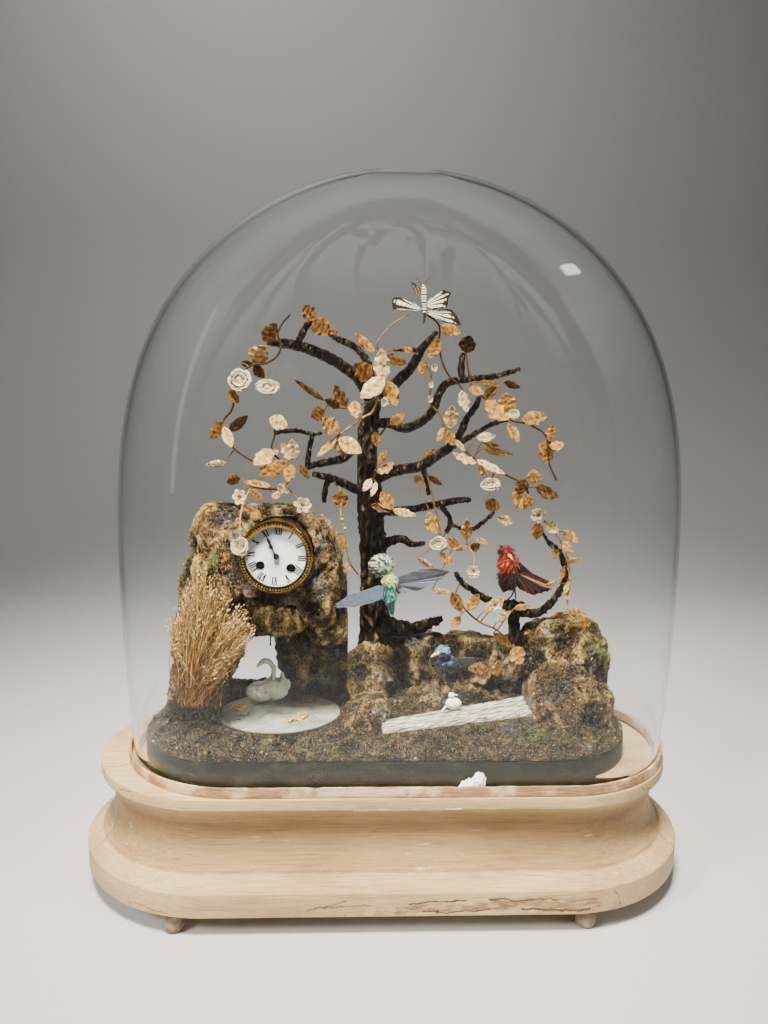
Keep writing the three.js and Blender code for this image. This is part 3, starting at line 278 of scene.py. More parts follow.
class Paint:
    def __init__(self, name, rough=0.6, metal=0.0, **sockets):
        self.mat = bpy.data.materials.new(name)
        self.mat.use_nodes = True
        self.nodes = self.mat.node_tree.nodes
        self.links = self.mat.node_tree.links
        self.body = self.nodes["Principled BSDF"]
        self.set("Roughness", rough)
        self.set("Metallic", metal)
        for key, value in sockets.items():
            self.set(key.replace("_", " "), value)
        self.place = self.nodes.new("ShaderNodeTexCoord").outputs["Object"]

    def set(self, socket, value):
        self.body.inputs[socket].default_value = value

    def wire(self, start, end):
        self.links.new(start, end)
        return end

    def stretch(self, scale, turn=(0, 0, 0), shift=(0, 0, 0), place=None):
        node = self.nodes.new("ShaderNodeMapping")
        node.inputs["Scale"].default_value = scale
        node.inputs["Rotation"].default_value = turn
        node.inputs["Location"].default_value = shift
        self.wire(place or self.place, node.inputs["Vector"])
        return node.outputs["Vector"]

    def noise(self, scale, detail=4, rough=0.55, place=None, twist=0.0):
        node = self.nodes.new("ShaderNodeTexNoise")
        node.inputs["Scale"].default_value = scale
        node.inputs["Detail"].default_value = detail
        node.inputs["Roughness"].default_value = rough
        node.inputs["Distortion"].default_value = twist
        self.wire(place or self.place, node.inputs["Vector"])
        return node.outputs["Fac"]

    def patina(self, place=None, **values):
        node = self.nodes.new("ShaderNodeGroup")
        node.node_tree = patina
        self.wire(place or self.place, node.inputs["Vector"])
        for name, value in values.items():
            if isinstance(value, bpy.types.NodeSocket):
                self.wire(value, node.inputs[name])
            else:
                node.inputs[name].default_value = value
        return node

    def patches(self, scale, detail, low, high, place=None, rough=0.6):
        return self.patina(place, Scale=scale, Detail=detail, Roughness=rough, Low=low,
                           High=high).outputs["Mask"]

    def worn(self, colour, dark, light, scale, low, high, amount, place=None, detail=6):
        node = self.patina(place, Colour=colour, Dark=dark, Light=light, Scale=scale,
                           Detail=detail, Low=low, High=high, Amount=amount)
        return node.outputs["Colour"], node.outputs["Height"]

    # How near a point is to a line between two places on the front, given as x and z in mm.
    def near(self, start, end, wide, warp):
        across = ((end[0] - start[0]) * mm, (end[1] - start[1]) * mm)
        length = math.hypot(*across)
        along = (across[0] / length, across[1] / length)
        x = self.sum(self.sum(self.axis(0), start[0] * mm, "SUBTRACT"), warp)
        z = self.sum(self.sum(self.axis(2), start[1] * mm, "SUBTRACT"), warp)
        far = self.sum(self.sum(self.sum(x, along[1], "MULTIPLY"),
                                self.sum(z, along[0], "MULTIPLY"), "SUBTRACT"), 0, "ABSOLUTE")
        reach = self.sum(self.sum(self.sum(x, along[0], "MULTIPLY"),
                                  self.sum(z, along[1], "MULTIPLY")), length / 2, "SUBTRACT")
        over = self.sum(self.sum(reach, 0, "ABSOLUTE"), length / 2, "SUBTRACT")
        return self.mask(self.sum(far, over, "MAXIMUM"), wide * mm, wide * 0.5 * mm)

    def cells(self, scale, place=None, out="Distance"):
        node = self.nodes.new("ShaderNodeTexVoronoi")
        node.inputs["Scale"].default_value = scale
        self.wire(place or self.place, node.inputs["Vector"])
        return node.outputs[out]

    def ramp(self, value, stops):
        node = self.nodes.new("ShaderNodeValToRGB")
        while len(node.color_ramp.elements) < len(stops):
            node.color_ramp.elements.new(0.5)
        for element, (at, colour) in zip(node.color_ramp.elements, stops):
            element.position = at
            element.color = colour if len(colour) == 4 else (*colour, 1)
        self.wire(value, node.inputs["Fac"])
        return node.outputs["Color"]

    def mask(self, value, low, high):
        node = self.nodes.new("ShaderNodeMapRange")
        node.inputs["From Min"].default_value = low
        node.inputs["From Max"].default_value = high
        self.wire(value, node.inputs["Value"])
        return node.outputs["Result"]

    def mix(self, amount, first, second, how="MIX"):
        node = self.nodes.new("ShaderNodeMix")
        node.data_type = "RGBA"
        node.blend_type = how
        for value, socket in ((amount, node.inputs[0]), (first, node.inputs[6]),
                              (second, node.inputs[7])):
            if isinstance(value, bpy.types.NodeSocket):
                self.wire(value, socket)
            else:
                socket.default_value = value
        return node.outputs[2]

    def sum(self, first, second, how="ADD"):
        node = self.nodes.new("ShaderNodeMath")
        node.operation = how
        for value, socket in ((first, node.inputs[0]), (second, node.inputs[1])):
            if isinstance(value, bpy.types.NodeSocket):
                self.wire(value, socket)
            else:
                socket.default_value = value
        return node.outputs[0]

    def axis(self, which, place=None):
        node = self.nodes.new("ShaderNodeSeparateXYZ")
        self.wire(place or self.place, node.inputs[0])
        return node.outputs[which]

    def mark(self, name="tone"):
        node = self.nodes.new("ShaderNodeAttribute")
        node.attribute_name = name
        return node.outputs["Fac"]

    def colour(self, value):
        self.wire(value, self.body.inputs["Base Color"])
        return self

    def roughness(self, value):
        self.wire(value, self.body.inputs["Roughness"])
        return self

    def bump(self, value, strength=0.5, depth=0.0005):
        node = self.nodes.new("ShaderNodeBump")
        node.inputs["Strength"].default_value = strength
        node.inputs["Distance"].default_value = depth
        self.wire(value, node.inputs["Height"])
        self.wire(node.outputs["Normal"], self.body.inputs["Normal"])
        return self


# Damage on the front of the base, each a line from x, z to x, z in mm, its half width and colour.
baseMarks = [
    ((-30, 113), (64, 112), 0.5, (240, 226, 196)), ((-150, 111.5), (-60, 113), 0.45, (150, 120, 84)),
    ((100, 31), (185, 30), 9.0, (128, 98, 64)), ((10, 27), (120, 30), 5.0, (116, 88, 58)),
    ((20, 33), (70, 36), 1.0, (70, 52, 34)), ((90, 36), (150, 34), 0.9, (66, 48, 32)),
    ((120, 26), (180, 24), 1.2, (74, 54, 36)), ((30, 24), (90, 25), 0.9, (74, 54, 36)),
    ((-72, 27), (-38, 35), 0.7, (88, 66, 44)), ((-60, 30), (-14, 31), 0.5, (92, 70, 48)),
    ((-228, 26), (-196, 23), 0.5, (90, 68, 46)), ((-203, 84), (-150, 80), 0.35, (120, 94, 64)),
    ((206, 40), (212, 24), 0.5, (84, 62, 42)), ((-248, 118), (-236, 120), 0.6, (80, 58, 40)),
    ((244, 118), (250, 114), 0.7, (86, 62, 42)), ((236, 121), (241, 115), 0.5, (90, 66, 46)),
]


def paleWoodPaint():
    paint = Paint("pale_wood", rough=0.6)
    lines = paint.noise(3.2, 8, 0.62, paint.stretch((10, 150, 260)), 0.5)
    tone = paint.ramp(lines, [(0.3, rgb(150, 120, 80)), (0.45, rgb(176, 147, 102)),
                              (0.6, rgb(190, 162, 118)), (0.75, rgb(166, 136, 94))])
    tone, broad = paint.worn(tone, rgb(196, 184, 166), rgb(255, 255, 255), 7, 0.35, 0.6, 0.6,
                             paint.stretch((1, 2, 3)), 4)
    # Painted shade: the cove under the top plate is darkened by height, most just below the plate,
    # where its shadow falls.
    height = paint.mask(paint.sum(paint.axis(2), paint.sum(paint.noise(40, 3), 0.006, "MULTIPLY")),
                        0.055, 0.118)
    coveShade = paint.ramp(height, [(0.0, rgb(255, 255, 255)), (0.05, rgb(206, 198, 186)),
                               (0.34, rgb(196, 188, 176)), (0.5, rgb(206, 190, 164)),
                               (0.66, rgb(168, 146, 114)), (0.8, rgb(214, 196, 166)),
                               (0.93, rgb(255, 255, 255))])
    tone = paint.mix(0.9, tone, coveShade, "MULTIPLY")
    specks = paint.patches(520, 3, 0.655, 0.7, rough=0.7)
    tone = paint.mix(specks, tone, rgb(104, 80, 54))
    stain = paint.patches(26, 7, 0.6, 0.68, paint.stretch((1, 1, 5), shift=(0.5, 0, 0.2)), 0.75)
    low = paint.mask(paint.axis(2), 0.034, 0.022)
    tone = paint.mix(paint.sum(stain, low, "MULTIPLY"), tone, rgb(116, 88, 58))
    scuffs = paint.patches(42, 7, 0.63, 0.69, paint.stretch((0.5, 1, 4)), 0.72)
    tone = paint.mix(paint.sum(scuffs, 0.5, "MULTIPLY"), tone, rgb(234, 218, 188))
    front = paint.mask(paint.axis(1), -0.06, -0.075)
    warp = paint.sum(paint.sum(paint.noise(55, 6, 0.65), 0.5, "SUBTRACT"), 0.011, "MULTIPLY")
    ragged = paint.patches(170, 5, 0.4, 0.56, paint.stretch((0.5, 1, 3)))
    for start, end, wide, colour in baseMarks:
        mark = paint.near(start, end, wide, warp)
        if wide > 2:
            mark = paint.sum(mark, ragged, "MULTIPLY")
        tone = paint.mix(paint.sum(mark, front, "MULTIPLY"), tone, rgb(*colour))
    # The joints between the straight front and the two end blocks.
    for side in (-1, 1):
        away = paint.sum(paint.sum(paint.axis(0), side * 0.1647, "SUBTRACT"), side, "MULTIPLY")
        off = paint.sum(paint.sum(away, 0.5, "MULTIPLY"),
                        paint.sum(paint.axis(1), 0.866, "MULTIPLY"))
        off = paint.sum(paint.sum(off, paint.sum(warp, 0.25, "MULTIPLY")), 0, "ABSOLUTE")
        joint = paint.mask(off, 0.0007, 0.0003)
        joint = paint.sum(joint, paint.mask(away, 0.02, 0.03), "MULTIPLY")
        joint = paint.sum(joint, paint.mask(paint.axis(1), -0.02, -0.03), "MULTIPLY")
        tone = paint.mix(joint, tone, rgb(96, 74, 50))
    paint.colour(tone)
    paint.bump(paint.sum(lines, paint.noise(260, 5, 0.6)), 0.3, 0.0005)
    return paint.mat


def brownWoodPaint():
    paint = Paint("brown_wood", rough=0.55)
    lines = paint.noise(3, 8, 0.6, paint.stretch((18, 120, 420)), 0.4)
    tone = paint.ramp(lines, [(0.3, rgb(92, 66, 42)), (0.5, rgb(142, 110, 74)),
                              (0.7, rgb(178, 144, 102))])
    worn = paint.patches(34, 5, 0.5, 0.62)
    tone = paint.mix(worn, tone, rgb(200, 170, 126))
    warp = paint.sum(paint.sum(paint.noise(55, 6, 0.65), 0.5, "SUBTRACT"), 0.011, "MULTIPLY")
    torn = paint.near((-60, 128.4), (10, 128.4), 5.5, warp)
    tone = paint.mix(paint.sum(torn, paint.mask(paint.axis(1), -0.1, -0.11), "MULTIPLY"), tone,
                     paint.ramp(lines, [(0.35, rgb(172, 144, 108)), (0.65, rgb(214, 190, 152))]))
    paint.colour(tone).bump(lines, 0.4, 0.0006)
    return paint.mat


def footPaint():
    paint = Paint("foot_wood", rough=0.6)
    blotches = paint.noise(120, 5, 0.6)
    paint.colour(paint.ramp(blotches, [(0.3, rgb(74, 62, 50)), (0.55, rgb(128, 108, 84)),
                                       (0.75, rgb(168, 146, 116))]))
    paint.bump(blotches, 0.4, 0.0006)
    return paint.mat


def greenEdgePaint():
    paint = Paint("green_edge", rough=0.7)
    blotches = paint.noise(60, 6, 0.65, paint.stretch((1, 1, 3)))
    paint.colour(paint.ramp(blotches, [(0.3, rgb(8, 11, 6)), (0.52, rgb(20, 25, 15)),
                                       (0.66, rgb(40, 44, 27)), (0.8, rgb(100, 92, 60))]))
    paint.bump(blotches, 0.3, 0.0003)
    return paint.mat


def rockPaint(name="rockwork", lift=0.0, green=0.5, shine=0.42):
    paint = Paint(name, rough=shine)
    fine = paint.noise(420, 8, 0.75)
    flecks = paint.sum(paint.sum(fine, 0.5, "SUBTRACT"), 1.5, "MULTIPLY")
    # Painted shade and light: the relief tone darkens the hollows and lightens the high points in every
    # ramp below.
    level = paint.sum(paint.sum(paint.sum(paint.mark(), 0.8, "MULTIPLY"), flecks), 0.05 + lift)
    tone = paint.ramp(level, [(0.38, rgb(8, 6, 5)), (0.54, rgb(34, 25, 15)),
                              (0.68, rgb(76, 56, 32)), (0.8, rgb(134, 104, 58)),
                              (0.95, rgb(204, 176, 118))])
    mossy = paint.ramp(level, [(0.4, rgb(12, 15, 7)), (0.58, rgb(44, 50, 22)),
                               (0.76, rgb(98, 104, 50)), (0.94, rgb(168, 166, 100))])
    edge = 0.6 - 0.1 * green
    tone = paint.mix(paint.patches(24, 5, edge, edge + 0.08), tone, mossy)
    stone = paint.ramp(level, [(0.4, rgb(14, 13, 13)), (0.62, rgb(60, 55, 51)),
                               (0.92, rgb(164, 154, 142))])
    grey = paint.patches(30, 5, 0.54, 0.62, paint.stretch((1, 1, 1), shift=(0.3, 0.1, 0)))
    tone = paint.mix(grey, tone, stone)
    ochre = paint.patches(46, 4, 0.55, 0.66, paint.stretch((1, 1, 1), shift=(0.7, 0.2, 0.4)))
    tone = paint.mix(paint.sum(ochre, 0.85, "MULTIPLY"), tone, paint.ramp(level, [
        (0.4, rgb(36, 24, 9)), (0.6, rgb(104, 74, 30)), (0.85, rgb(204, 166, 88))]))
    # Painted highlights: tiny pale glints scattered over the stone.
    glints = paint.patches(1500, 2, 0.64, 0.68, rough=0.5)
    tone = paint.mix(glints, tone, rgb(214, 200, 164))
    paint.colour(tone)
    paint.roughness(paint.mask(fine, 0.2, 0.95))
    paint.bump(paint.sum(fine, paint.noise(1000, 4, 0.7)), 1.0, 0.0022)
    return paint.mat


def crumbPaint():
    paint = Paint("rock_crumbs", rough=0.7)
    tone = paint.ramp(paint.mark(), [
        (0.0, rgb(18, 14, 9)), (0.2, rgb(56, 42, 22)), (0.4, rgb(98, 74, 38)),
        (0.55, rgb(58, 62, 28)), (0.7, rgb(128, 100, 54)), (0.9, rgb(110, 104, 90)),
        (1.0, rgb(206, 190, 150))])
    tone, wear = paint.worn(tone, rgb(110, 100, 80), rgb(255, 250, 235), 900, 0.3, 0.7, 0.5)
    paint.colour(tone)
    return paint.mat


def strawPaint():
    paint = Paint("straw", rough=0.75)
    tone = paint.ramp(paint.mark(), [
        (0.0, rgb(50, 34, 18)), (0.25, rgb(112, 78, 40)), (0.5, rgb(170, 128, 70)),
        (0.75, rgb(212, 174, 108)), (1.0, rgb(246, 224, 170))])
    tone, wear = paint.worn(tone, rgb(90, 72, 46), rgb(255, 250, 240), 300, 0.36, 0.62, 0.6)
    paint.colour(tone)
    return paint.mat


def barkPaint():
    paint = Paint("dark_bark", rough=0.45)
    ridges = paint.noise(260, 8, 0.75, paint.stretch((1, 1, 0.5)))
    flecks = paint.sum(paint.sum(ridges, 0.5, "SUBTRACT"), 1.3, "MULTIPLY")
    # Painted shade and light: the relief tone darkens the hollows of the bark and lightens its ridges.
    level = paint.sum(paint.sum(paint.sum(paint.mark(), 0.6, "MULTIPLY"), flecks), 0.2)
    tone = paint.ramp(level, [(0.4, rgb(6, 5, 4)), (0.6, rgb(22, 17, 13)),
                              (0.74, rgb(48, 38, 27)), (0.88, rgb(100, 82, 56)),
                              (1.0, rgb(176, 156, 116))])
    moss = paint.patches(60, 5, 0.56, 0.68)
    tone = paint.mix(paint.sum(moss, 0.6, "MULTIPLY"), tone, paint.ramp(level, [
        (0.4, rgb(14, 16, 9)), (0.7, rgb(64, 64, 38)), (0.9, rgb(130, 126, 84))]))
    paint.colour(tone).bump(ridges, 0.9, 0.0018)
    return paint.mat


def leafPaint():
    paint = Paint("gilt_leaf", rough=0.36, metal=0.3)
    tone = paint.ramp(paint.mark(), [
        (0.0, rgb(34, 24, 15)), (0.18, rgb(86, 60, 32)), (0.38, rgb(138, 98, 46)),
        (0.58, rgb(184, 138, 70)), (0.78, rgb(212, 170, 96)), (0.92, rgb(234, 212, 160)),
        (1.0, rgb(246, 236, 208))])
    amount = paint.sum(paint.mask(paint.mark(), 1.06, 0.86), 0.8, "MULTIPLY")
    tone, crinkle = paint.worn(tone, rgb(140, 106, 68), rgb(255, 250, 238), 300, 0.38, 0.56, amount)
    paint.colour(tone)
    paint.bump(paint.sum(crinkle, paint.noise(1300, 3)), 1.0, 0.001)
    return paint.mat


def creamPaint(name="cream_wire", colour=(216, 204, 172)):
    paint = Paint(name, rough=0.6)
    tone, wear = paint.worn(rgb(*colour), rgb(104, 92, 76), rgb(255, 255, 255), 300, 0.34, 0.46, 0.6)
    paint.colour(tone).bump(wear, 0.6, 0.0006)
    return paint.mat


def featherPaint(name, stops, rough=0.5, sheen=0.3):
    paint = Paint(name, rough=rough, Sheen_Weight=sheen)
    tone = paint.ramp(paint.mark(), [(at, rgb(*colour)) for at, colour in stops])
    tone, barbs = paint.worn(tone, rgb(70, 66, 62), rgb(255, 252, 248), 700, 0.36, 0.58, 0.75,
                             paint.stretch((1, 1, 3)))
    paint.colour(tone).bump(barbs, 0.7, 0.0006)
    return paint.mat


def giltPaint():
    paint = Paint("gilt", rough=0.26, metal=1.0)
    tone = paint.ramp(paint.mark(), [(0.0, rgb(52, 36, 12)), (0.5, rgb(196, 152, 62)),
                                     (1.0, rgb(252, 226, 146))])
    tone, wear = paint.worn(tone, rgb(130, 100, 50), rgb(255, 255, 255), 240, 0.34, 0.56, 0.6)
    paint.colour(tone).bump(wear, 0.2, 0.0003)
    return paint.mat


def enamelPaint():
    paint = Paint("enamel", rough=0.18, Coat_Weight=0.4)
    clouds = paint.noise(42, 4, 0.5)
    paint.colour(paint.ramp(clouds, [(0.3, rgb(222, 224, 226)), (0.6, rgb(243, 243, 240))]))
    paint.bump(paint.noise(160, 3), 0.06, 0.0002)
    return paint.mat


def steelPaint():
    paint = Paint("blued_steel", rough=0.35, metal=0.7)
    wear = paint.noise(500, 4)
    paint.colour(paint.ramp(wear, [(0.3, rgb(18, 20, 24)), (0.7, rgb(62, 66, 74))]))
    return paint.mat


def glassPaint():
    paint = Paint("clear_glass", rough=0.0, Transmission_Weight=1.0, IOR=1.36)
    paint.set("Base Color", (0.965, 0.975, 0.97, 1))
    paint.bump(paint.noise(5, 2, 0.4), 0.06, 0.002)
    return paint.mat


def rodPaint():
    paint = Paint("ribbed_glass", rough=0.1, Transmission_Weight=0.55, IOR=1.45)
    # Painted highlights: pale streaks along the twist stand for glints on the glass, and brown streaks
    # are painted glimpses of the ground below.
    turned = paint.stretch((1, 1, 1), (0, 0, -0.325))
    lines = paint.noise(1, 5, 0.6, paint.stretch((16, 620, 620), place=turned))
    paint.colour(paint.ramp(lines, [(0.38, rgb(104, 98, 78)), (0.5, rgb(196, 192, 170)),
                                    (0.62, rgb(246, 244, 230))]))
    paint.bump(paint.noise(300, 3, 0.5), 0.2, 0.0004)
    return paint.mat


def mirrorPaint():
    paint = Paint("mirror_glass", metal=0.45)
    # Painted reflection: the pale grey-green clouds, with the metal kept weak, stand partly for bright
    # reflections and partly for the worn silvering; the foxing is real.
    clouds = paint.noise(34, 6, 0.62, None, 0.8)
    foxing = paint.mask(paint.noise(170, 5, 0.7), 0.56, 0.66)
    tone = paint.ramp(clouds, [(0.3, rgb(104, 112, 94)), (0.5, rgb(164, 168, 148)),
                               (0.7, rgb(214, 212, 192))])
    paint.colour(paint.mix(foxing, tone, rgb(206, 196, 156)))
    paint.roughness(paint.mask(clouds, 0.1, 1.1))
    paint.bump(paint.noise(260, 4), 0.15, 0.0003)
    return paint.mat


paints = {
    "paleWood": paleWoodPaint(), "brownWood": brownWoodPaint(), "foot": footPaint(),
    "green": greenEdgePaint(), "rock": rockPaint(), "ground": rockPaint("ground", -0.12, 0.6),
    "boulder": rockPaint("boulder", -0.04, 0.0), "crumbs": crumbPaint(), "straw": strawPaint(),
    "bark": barkPaint(), "leaf": leafPaint(), "cream": creamPaint(), "gilt": giltPaint(),
    "enamel": enamelPaint(), "steel": steelPaint(), "glass": glassPaint(),
    "mirror": mirrorPaint(), "ink": Paint("ink", rough=0.5).mat, "rod": rodPaint(),
    "plaster": creamPaint("pale_plaster", (244, 236, 216)),
    "teal": featherPaint("blue_green_feather", [
        (0.0, (16, 18, 20)), (0.2, (62, 62, 68)), (0.4, (128, 134, 158)), (0.55, (30, 118, 122)),
        (0.7, (52, 158, 134)), (0.85, (176, 190, 84)), (1.0, (244, 240, 206))], 0.4, 0.5),
    "red": featherPaint("red_feather", [
        (0.0, (24, 14, 12)), (0.3, (74, 22, 14)), (0.6, (150, 44, 22)), (0.8, (200, 84, 36)),
        (1.0, (226, 190, 130))]),
    "dark": featherPaint("dark_feather", [
        (0.0, (14, 16, 18)), (0.3, (44, 46, 48)), (0.55, (70, 60, 112)), (0.75, (120, 160, 190)),
        (0.9, (170, 200, 214)), (1.0, (232, 222, 190))]),
    "wing": featherPaint("butterfly_wing", [
        (0.0, (16, 14, 12)), (0.3, (96, 76, 52)), (0.7, (232, 226, 188)), (1.0, (248, 244, 222))],
        0.7, 0.2),
}
paints["ink"].node_tree.nodes["Principled BSDF"].inputs["Base Color"].default_value = rgb(24, 22, 22)
print("materials made")

def rounded(profile, radii):
    points = [Vector(p) for p in profile]
    soft = [points[0]]
    for i, (before, corner, after) in enumerate(zip(points, points[1:], points[2:])):
        radius = radii[i] if isinstance(radii, list) else radii
        back = min(radius, (before - corner).length * 0.45)
        forth = min(radius, (after - corner).length * 0.45)
        start = corner + (before - corner).normalized() * back
        end = corner + (after - corner).normalized() * forth
        for step in range(4):
            t = step / 3
            soft.append((1 - t) ** 2 * start + 2 * t * (1 - t) * corner + t * t * end)
    return soft + [points[-1]]


def sweepStadium(name, profile, straight, middle=0, turns=40, steps=20):
    curve = bpy.data.curves.new(name, "CURVE")
    curve.dimensions = "3D"
    line = curve.splines.new("POLY")
    line.points.add(len(profile) - 1)
    for point, (end, z) in zip(line.points, profile):
        point.co = ((middle + straight) * mm, -end * mm, z * mm, 1)
    piece = pick(linked(curve, name))
    bpy.ops.object.convert(target="MESH")
    piece = bpy.context.object
    bpy.ops.object.mode_set(mode="EDIT")
    bpy.ops.mesh.select_mode(type="VERT")
    bpy.ops.mesh.select_all(action="SELECT")
    for side in (1, -1):
        bpy.ops.mesh.spin(steps=turns, angle=-math.pi, axis=(0, 0, 1),
                          center=((middle + side * straight) * mm, 0, 0))
        for step in range(steps):
            bpy.ops.mesh.extrude_region_move(TRANSFORM_OT_translate={
                "value": (-side * 2 * straight / steps * mm, 0, 0)})
    bpy.ops.object.mode_set(mode="OBJECT")
    piece.name = name
    return outward(piece)


def limbCurve(places, radii, name="limb", ready=False):
    curve = bpy.data.curves.new(name, "CURVE")
    curve.dimensions = "3D"
    curve.bevel_depth = 1.0
    curve.bevel_resolution = 3
    curve.resolution_u = 6
    curve.use_fill_caps = True
    line = curve.splines.new("BEZIER")
    line.bezier_points.add(len(places) - 1)
    for i, (point, at) in enumerate(zip(line.bezier_points, places)):
        point.co = at if ready else seen(*at)
        point.handle_left_type = point.handle_right_type = "AUTO"
        reach = i * (len(radii) - 1) / max(1, len(places) - 1)
        low = min(int(reach), len(radii) - 2)
        point.radius = (radii[low] + (radii[low + 1] - radii[low]) * (reach - low)) * mm
    piece = pick(linked(curve, name))
    bpy.ops.object.convert(target="MESH")
    return bpy.context.object


def fused(things, name, voxel):
    piece = outward(joined(things, name))
    modify(piece, "REMESH", mode="VOXEL", voxel_size=voxel * mm, use_smooth_shade=True)
    return piece


def blob(at, size, rings=16, turn=(0, 0, 0)):
    deselect()
    bpy.ops.mesh.primitive_uv_sphere_add(segments=rings * 2, ring_count=rings, radius=1)
    ball = bpy.context.object
    ball.scale = [v * mm for v in size]
    ball.rotation_euler = [math.radians(v) for v in turn]
    ball.location = at if isinstance(at, Vector) else Vector(at) * mm
    return settle(ball)


def disc(name, radius, front, back, at, turns=64, soft=0.0):
    deselect()
    bpy.ops.mesh.primitive_cylinder_add(vertices=turns, radius=radius * mm,
                                        depth=(back - front) * mm)
    piece = bpy.context.object
    piece.rotation_euler = (math.pi / 2, 0, 0)
    piece.location = (at[0] * mm, (front + back) / 2 * mm, at[1] * mm)
    settle(piece)
    piece.name = name
    if soft:
        modify(piece, "BEVEL", width=soft * mm, segments=3, angle_limit=math.radians(40))
    return piece


def turnedRing(name, profile, at, turns=72):
    curve = bpy.data.curves.new(name, "CURVE")
    curve.dimensions = "3D"
    line = curve.splines.new("POLY")
    line.points.add(len(profile) - 1)
    for point, (radius, y) in zip(line.points, profile):
        point.co = ((at[0] + radius) * mm, y * mm, at[1] * mm, 1)
    pick(linked(curve, name))
    bpy.ops.object.convert(target="MESH")
    piece = bpy.context.object
    bpy.ops.object.mode_set(mode="EDIT")
    bpy.ops.mesh.select_mode(type="VERT")
    bpy.ops.mesh.select_all(action="SELECT")
    bpy.ops.mesh.spin(steps=turns, angle=2 * math.pi, axis=(0, 1, 0),
                      center=(at[0] * mm, 0, at[1] * mm))
    bpy.ops.object.mode_set(mode="OBJECT")
    piece.name = name
    return outward(piece)


def carve(piece, cutter, how="DIFFERENCE"):
    modify(piece, "BOOLEAN", operation=how, object=cutter, solver="EXACT")
    bpy.data.objects.remove(cutter, do_unlink=True)
    return piece


def toneBy(piece, rule):
    mark = piece.data.attributes.get("tone") or piece.data.attributes.new("tone", "FLOAT", "POINT")
    mark.data.foreach_set("value", [rule(v.co) for v in piece.data.vertices])
    return piece


# Blades: one flat grid shaped row by row, then thickened; leaves, petals and feathers are these.
def bladeModel(name, widths, cup=0.0, curl=0.0, wave=0.0, across=4, thick=0.03, fold=0.0):
    deselect()
    rows = len(widths) - 1
    bpy.ops.mesh.primitive_grid_add(x_subdivisions=across, y_subdivisions=rows, size=1)
    piece = bpy.context.object
    piece.location = (0, 0.5, 0)
    settle(piece)
    bpy.ops.object.mode_set(mode="EDIT")
    for row, width in enumerate(widths):
        level = row / rows
        chooseVerts(piece, lambda co: abs(co.y - level) < 0.4 / rows)
        bpy.ops.transform.resize(value=(max(width, 0.02), 1, 1), center_override=(0, level, 0))
        bpy.ops.transform.translate(value=(0, 0, curl * level ** 2))
    net = bmesh.from_edit_mesh(piece.data)
    for vert in net.verts:
        side = abs(vert.co.x)
        vert.co.z += cup * side ** 2 + fold * side
        vert.co.z += wave * math.sin(vert.co.y * 21 + 4 * side) * side * 2
    bmesh.update_edit_mesh(piece.data)
    bpy.ops.object.mode_set(mode="OBJECT")
    modify(piece, "SOLIDIFY", thickness=thick, offset=0)
    smooth(piece, 60)
    piece.name = name
    piece.data.name = name
    return piece


def bladePlace(foot, tip, width, face, depth=None):
    along = tip - foot
    reach = along.length
    along.normalize()
    normal = (face - along * face.dot(along)).normalized()
    side = along.cross(normal).normalized()
    frameTurn = Matrix((side, along, normal)).transposed().to_4x4()
    size = Matrix.Diagonal((width, reach, depth or (width + reach) / 2, 1))
    return Matrix.Translation(foot) @ frameTurn @ size


def flock(model, places, name, ribs=0.0):
    base = model.data
    corners = [v.co.copy() for v in base.vertices]
    shades = [ribs * (math.cos(25 * co.y + 8 * abs(co.x)) - (1.2 if abs(co.x) < 0.05 else 0))
              for co in corners]
    faces = [tuple(p.vertices) for p in base.polygons]
    allCorners, allFaces, tones = [], [], []
    for place, tone in places:
        start = len(allCorners)
        allCorners.extend(place @ co for co in corners)
        allFaces.extend(tuple(start + i for i in face) for face in faces)
        tones.extend(min(1, max(0, tone + shade)) for shade in shades)
    mesh = bpy.data.meshes.new(name)
    mesh.from_pydata(allCorners, [], allFaces)
    mesh.attributes.new("tone", "FLOAT", "POINT").data.foreach_set("value", tones)
    return linked(mesh, name)


def turnTo(direction, spinBy=0.0):
    return direction.to_track_quat("Z", "Y").to_matrix().to_4x4() @ Matrix.Rotation(spinBy, 4, "Z")


models = {
    "leaf": bladeModel("leaf_model", [0.1, 0.6, 0.9, 1.0, 1.02, 0.92, 0.74, 0.46, 0.06],
                       cup=-0.75, curl=0.16, wave=0.13, fold=0.3),
    "petal": bladeModel("petal_model", [0.25, 0.7, 1.0, 0.95, 0.5], cup=0.9, curl=0.4, across=3,
                        thick=0.06),
    "feather": bladeModel("feather_model", [0.3, 0.8, 1.0, 0.9, 0.5], cup=-0.35, curl=0.05,
                          across=2, thick=0.05),
    "quill": bladeModel("quill_model", [0.35, 0.8, 1.0, 1.0, 0.85, 0.35], cup=-0.25, across=2,
                        thick=0.04),
}


def stoneModel():
    deselect()
    bpy.ops.mesh.primitive_ico_sphere_add(subdivisions=1, radius=1)
    piece = bpy.context.object
    roughen(piece, 900, 700)
    return piece


def hairModel():
    deselect()
    bpy.ops.mesh.primitive_cone_add(vertices=3, radius1=1, radius2=0, depth=1)
    piece = bpy.context.object
    piece.location = (0, 0, 0.5)
    return settle(piece)


models["stone"] = stoneModel()
models["hair"] = hairModel()


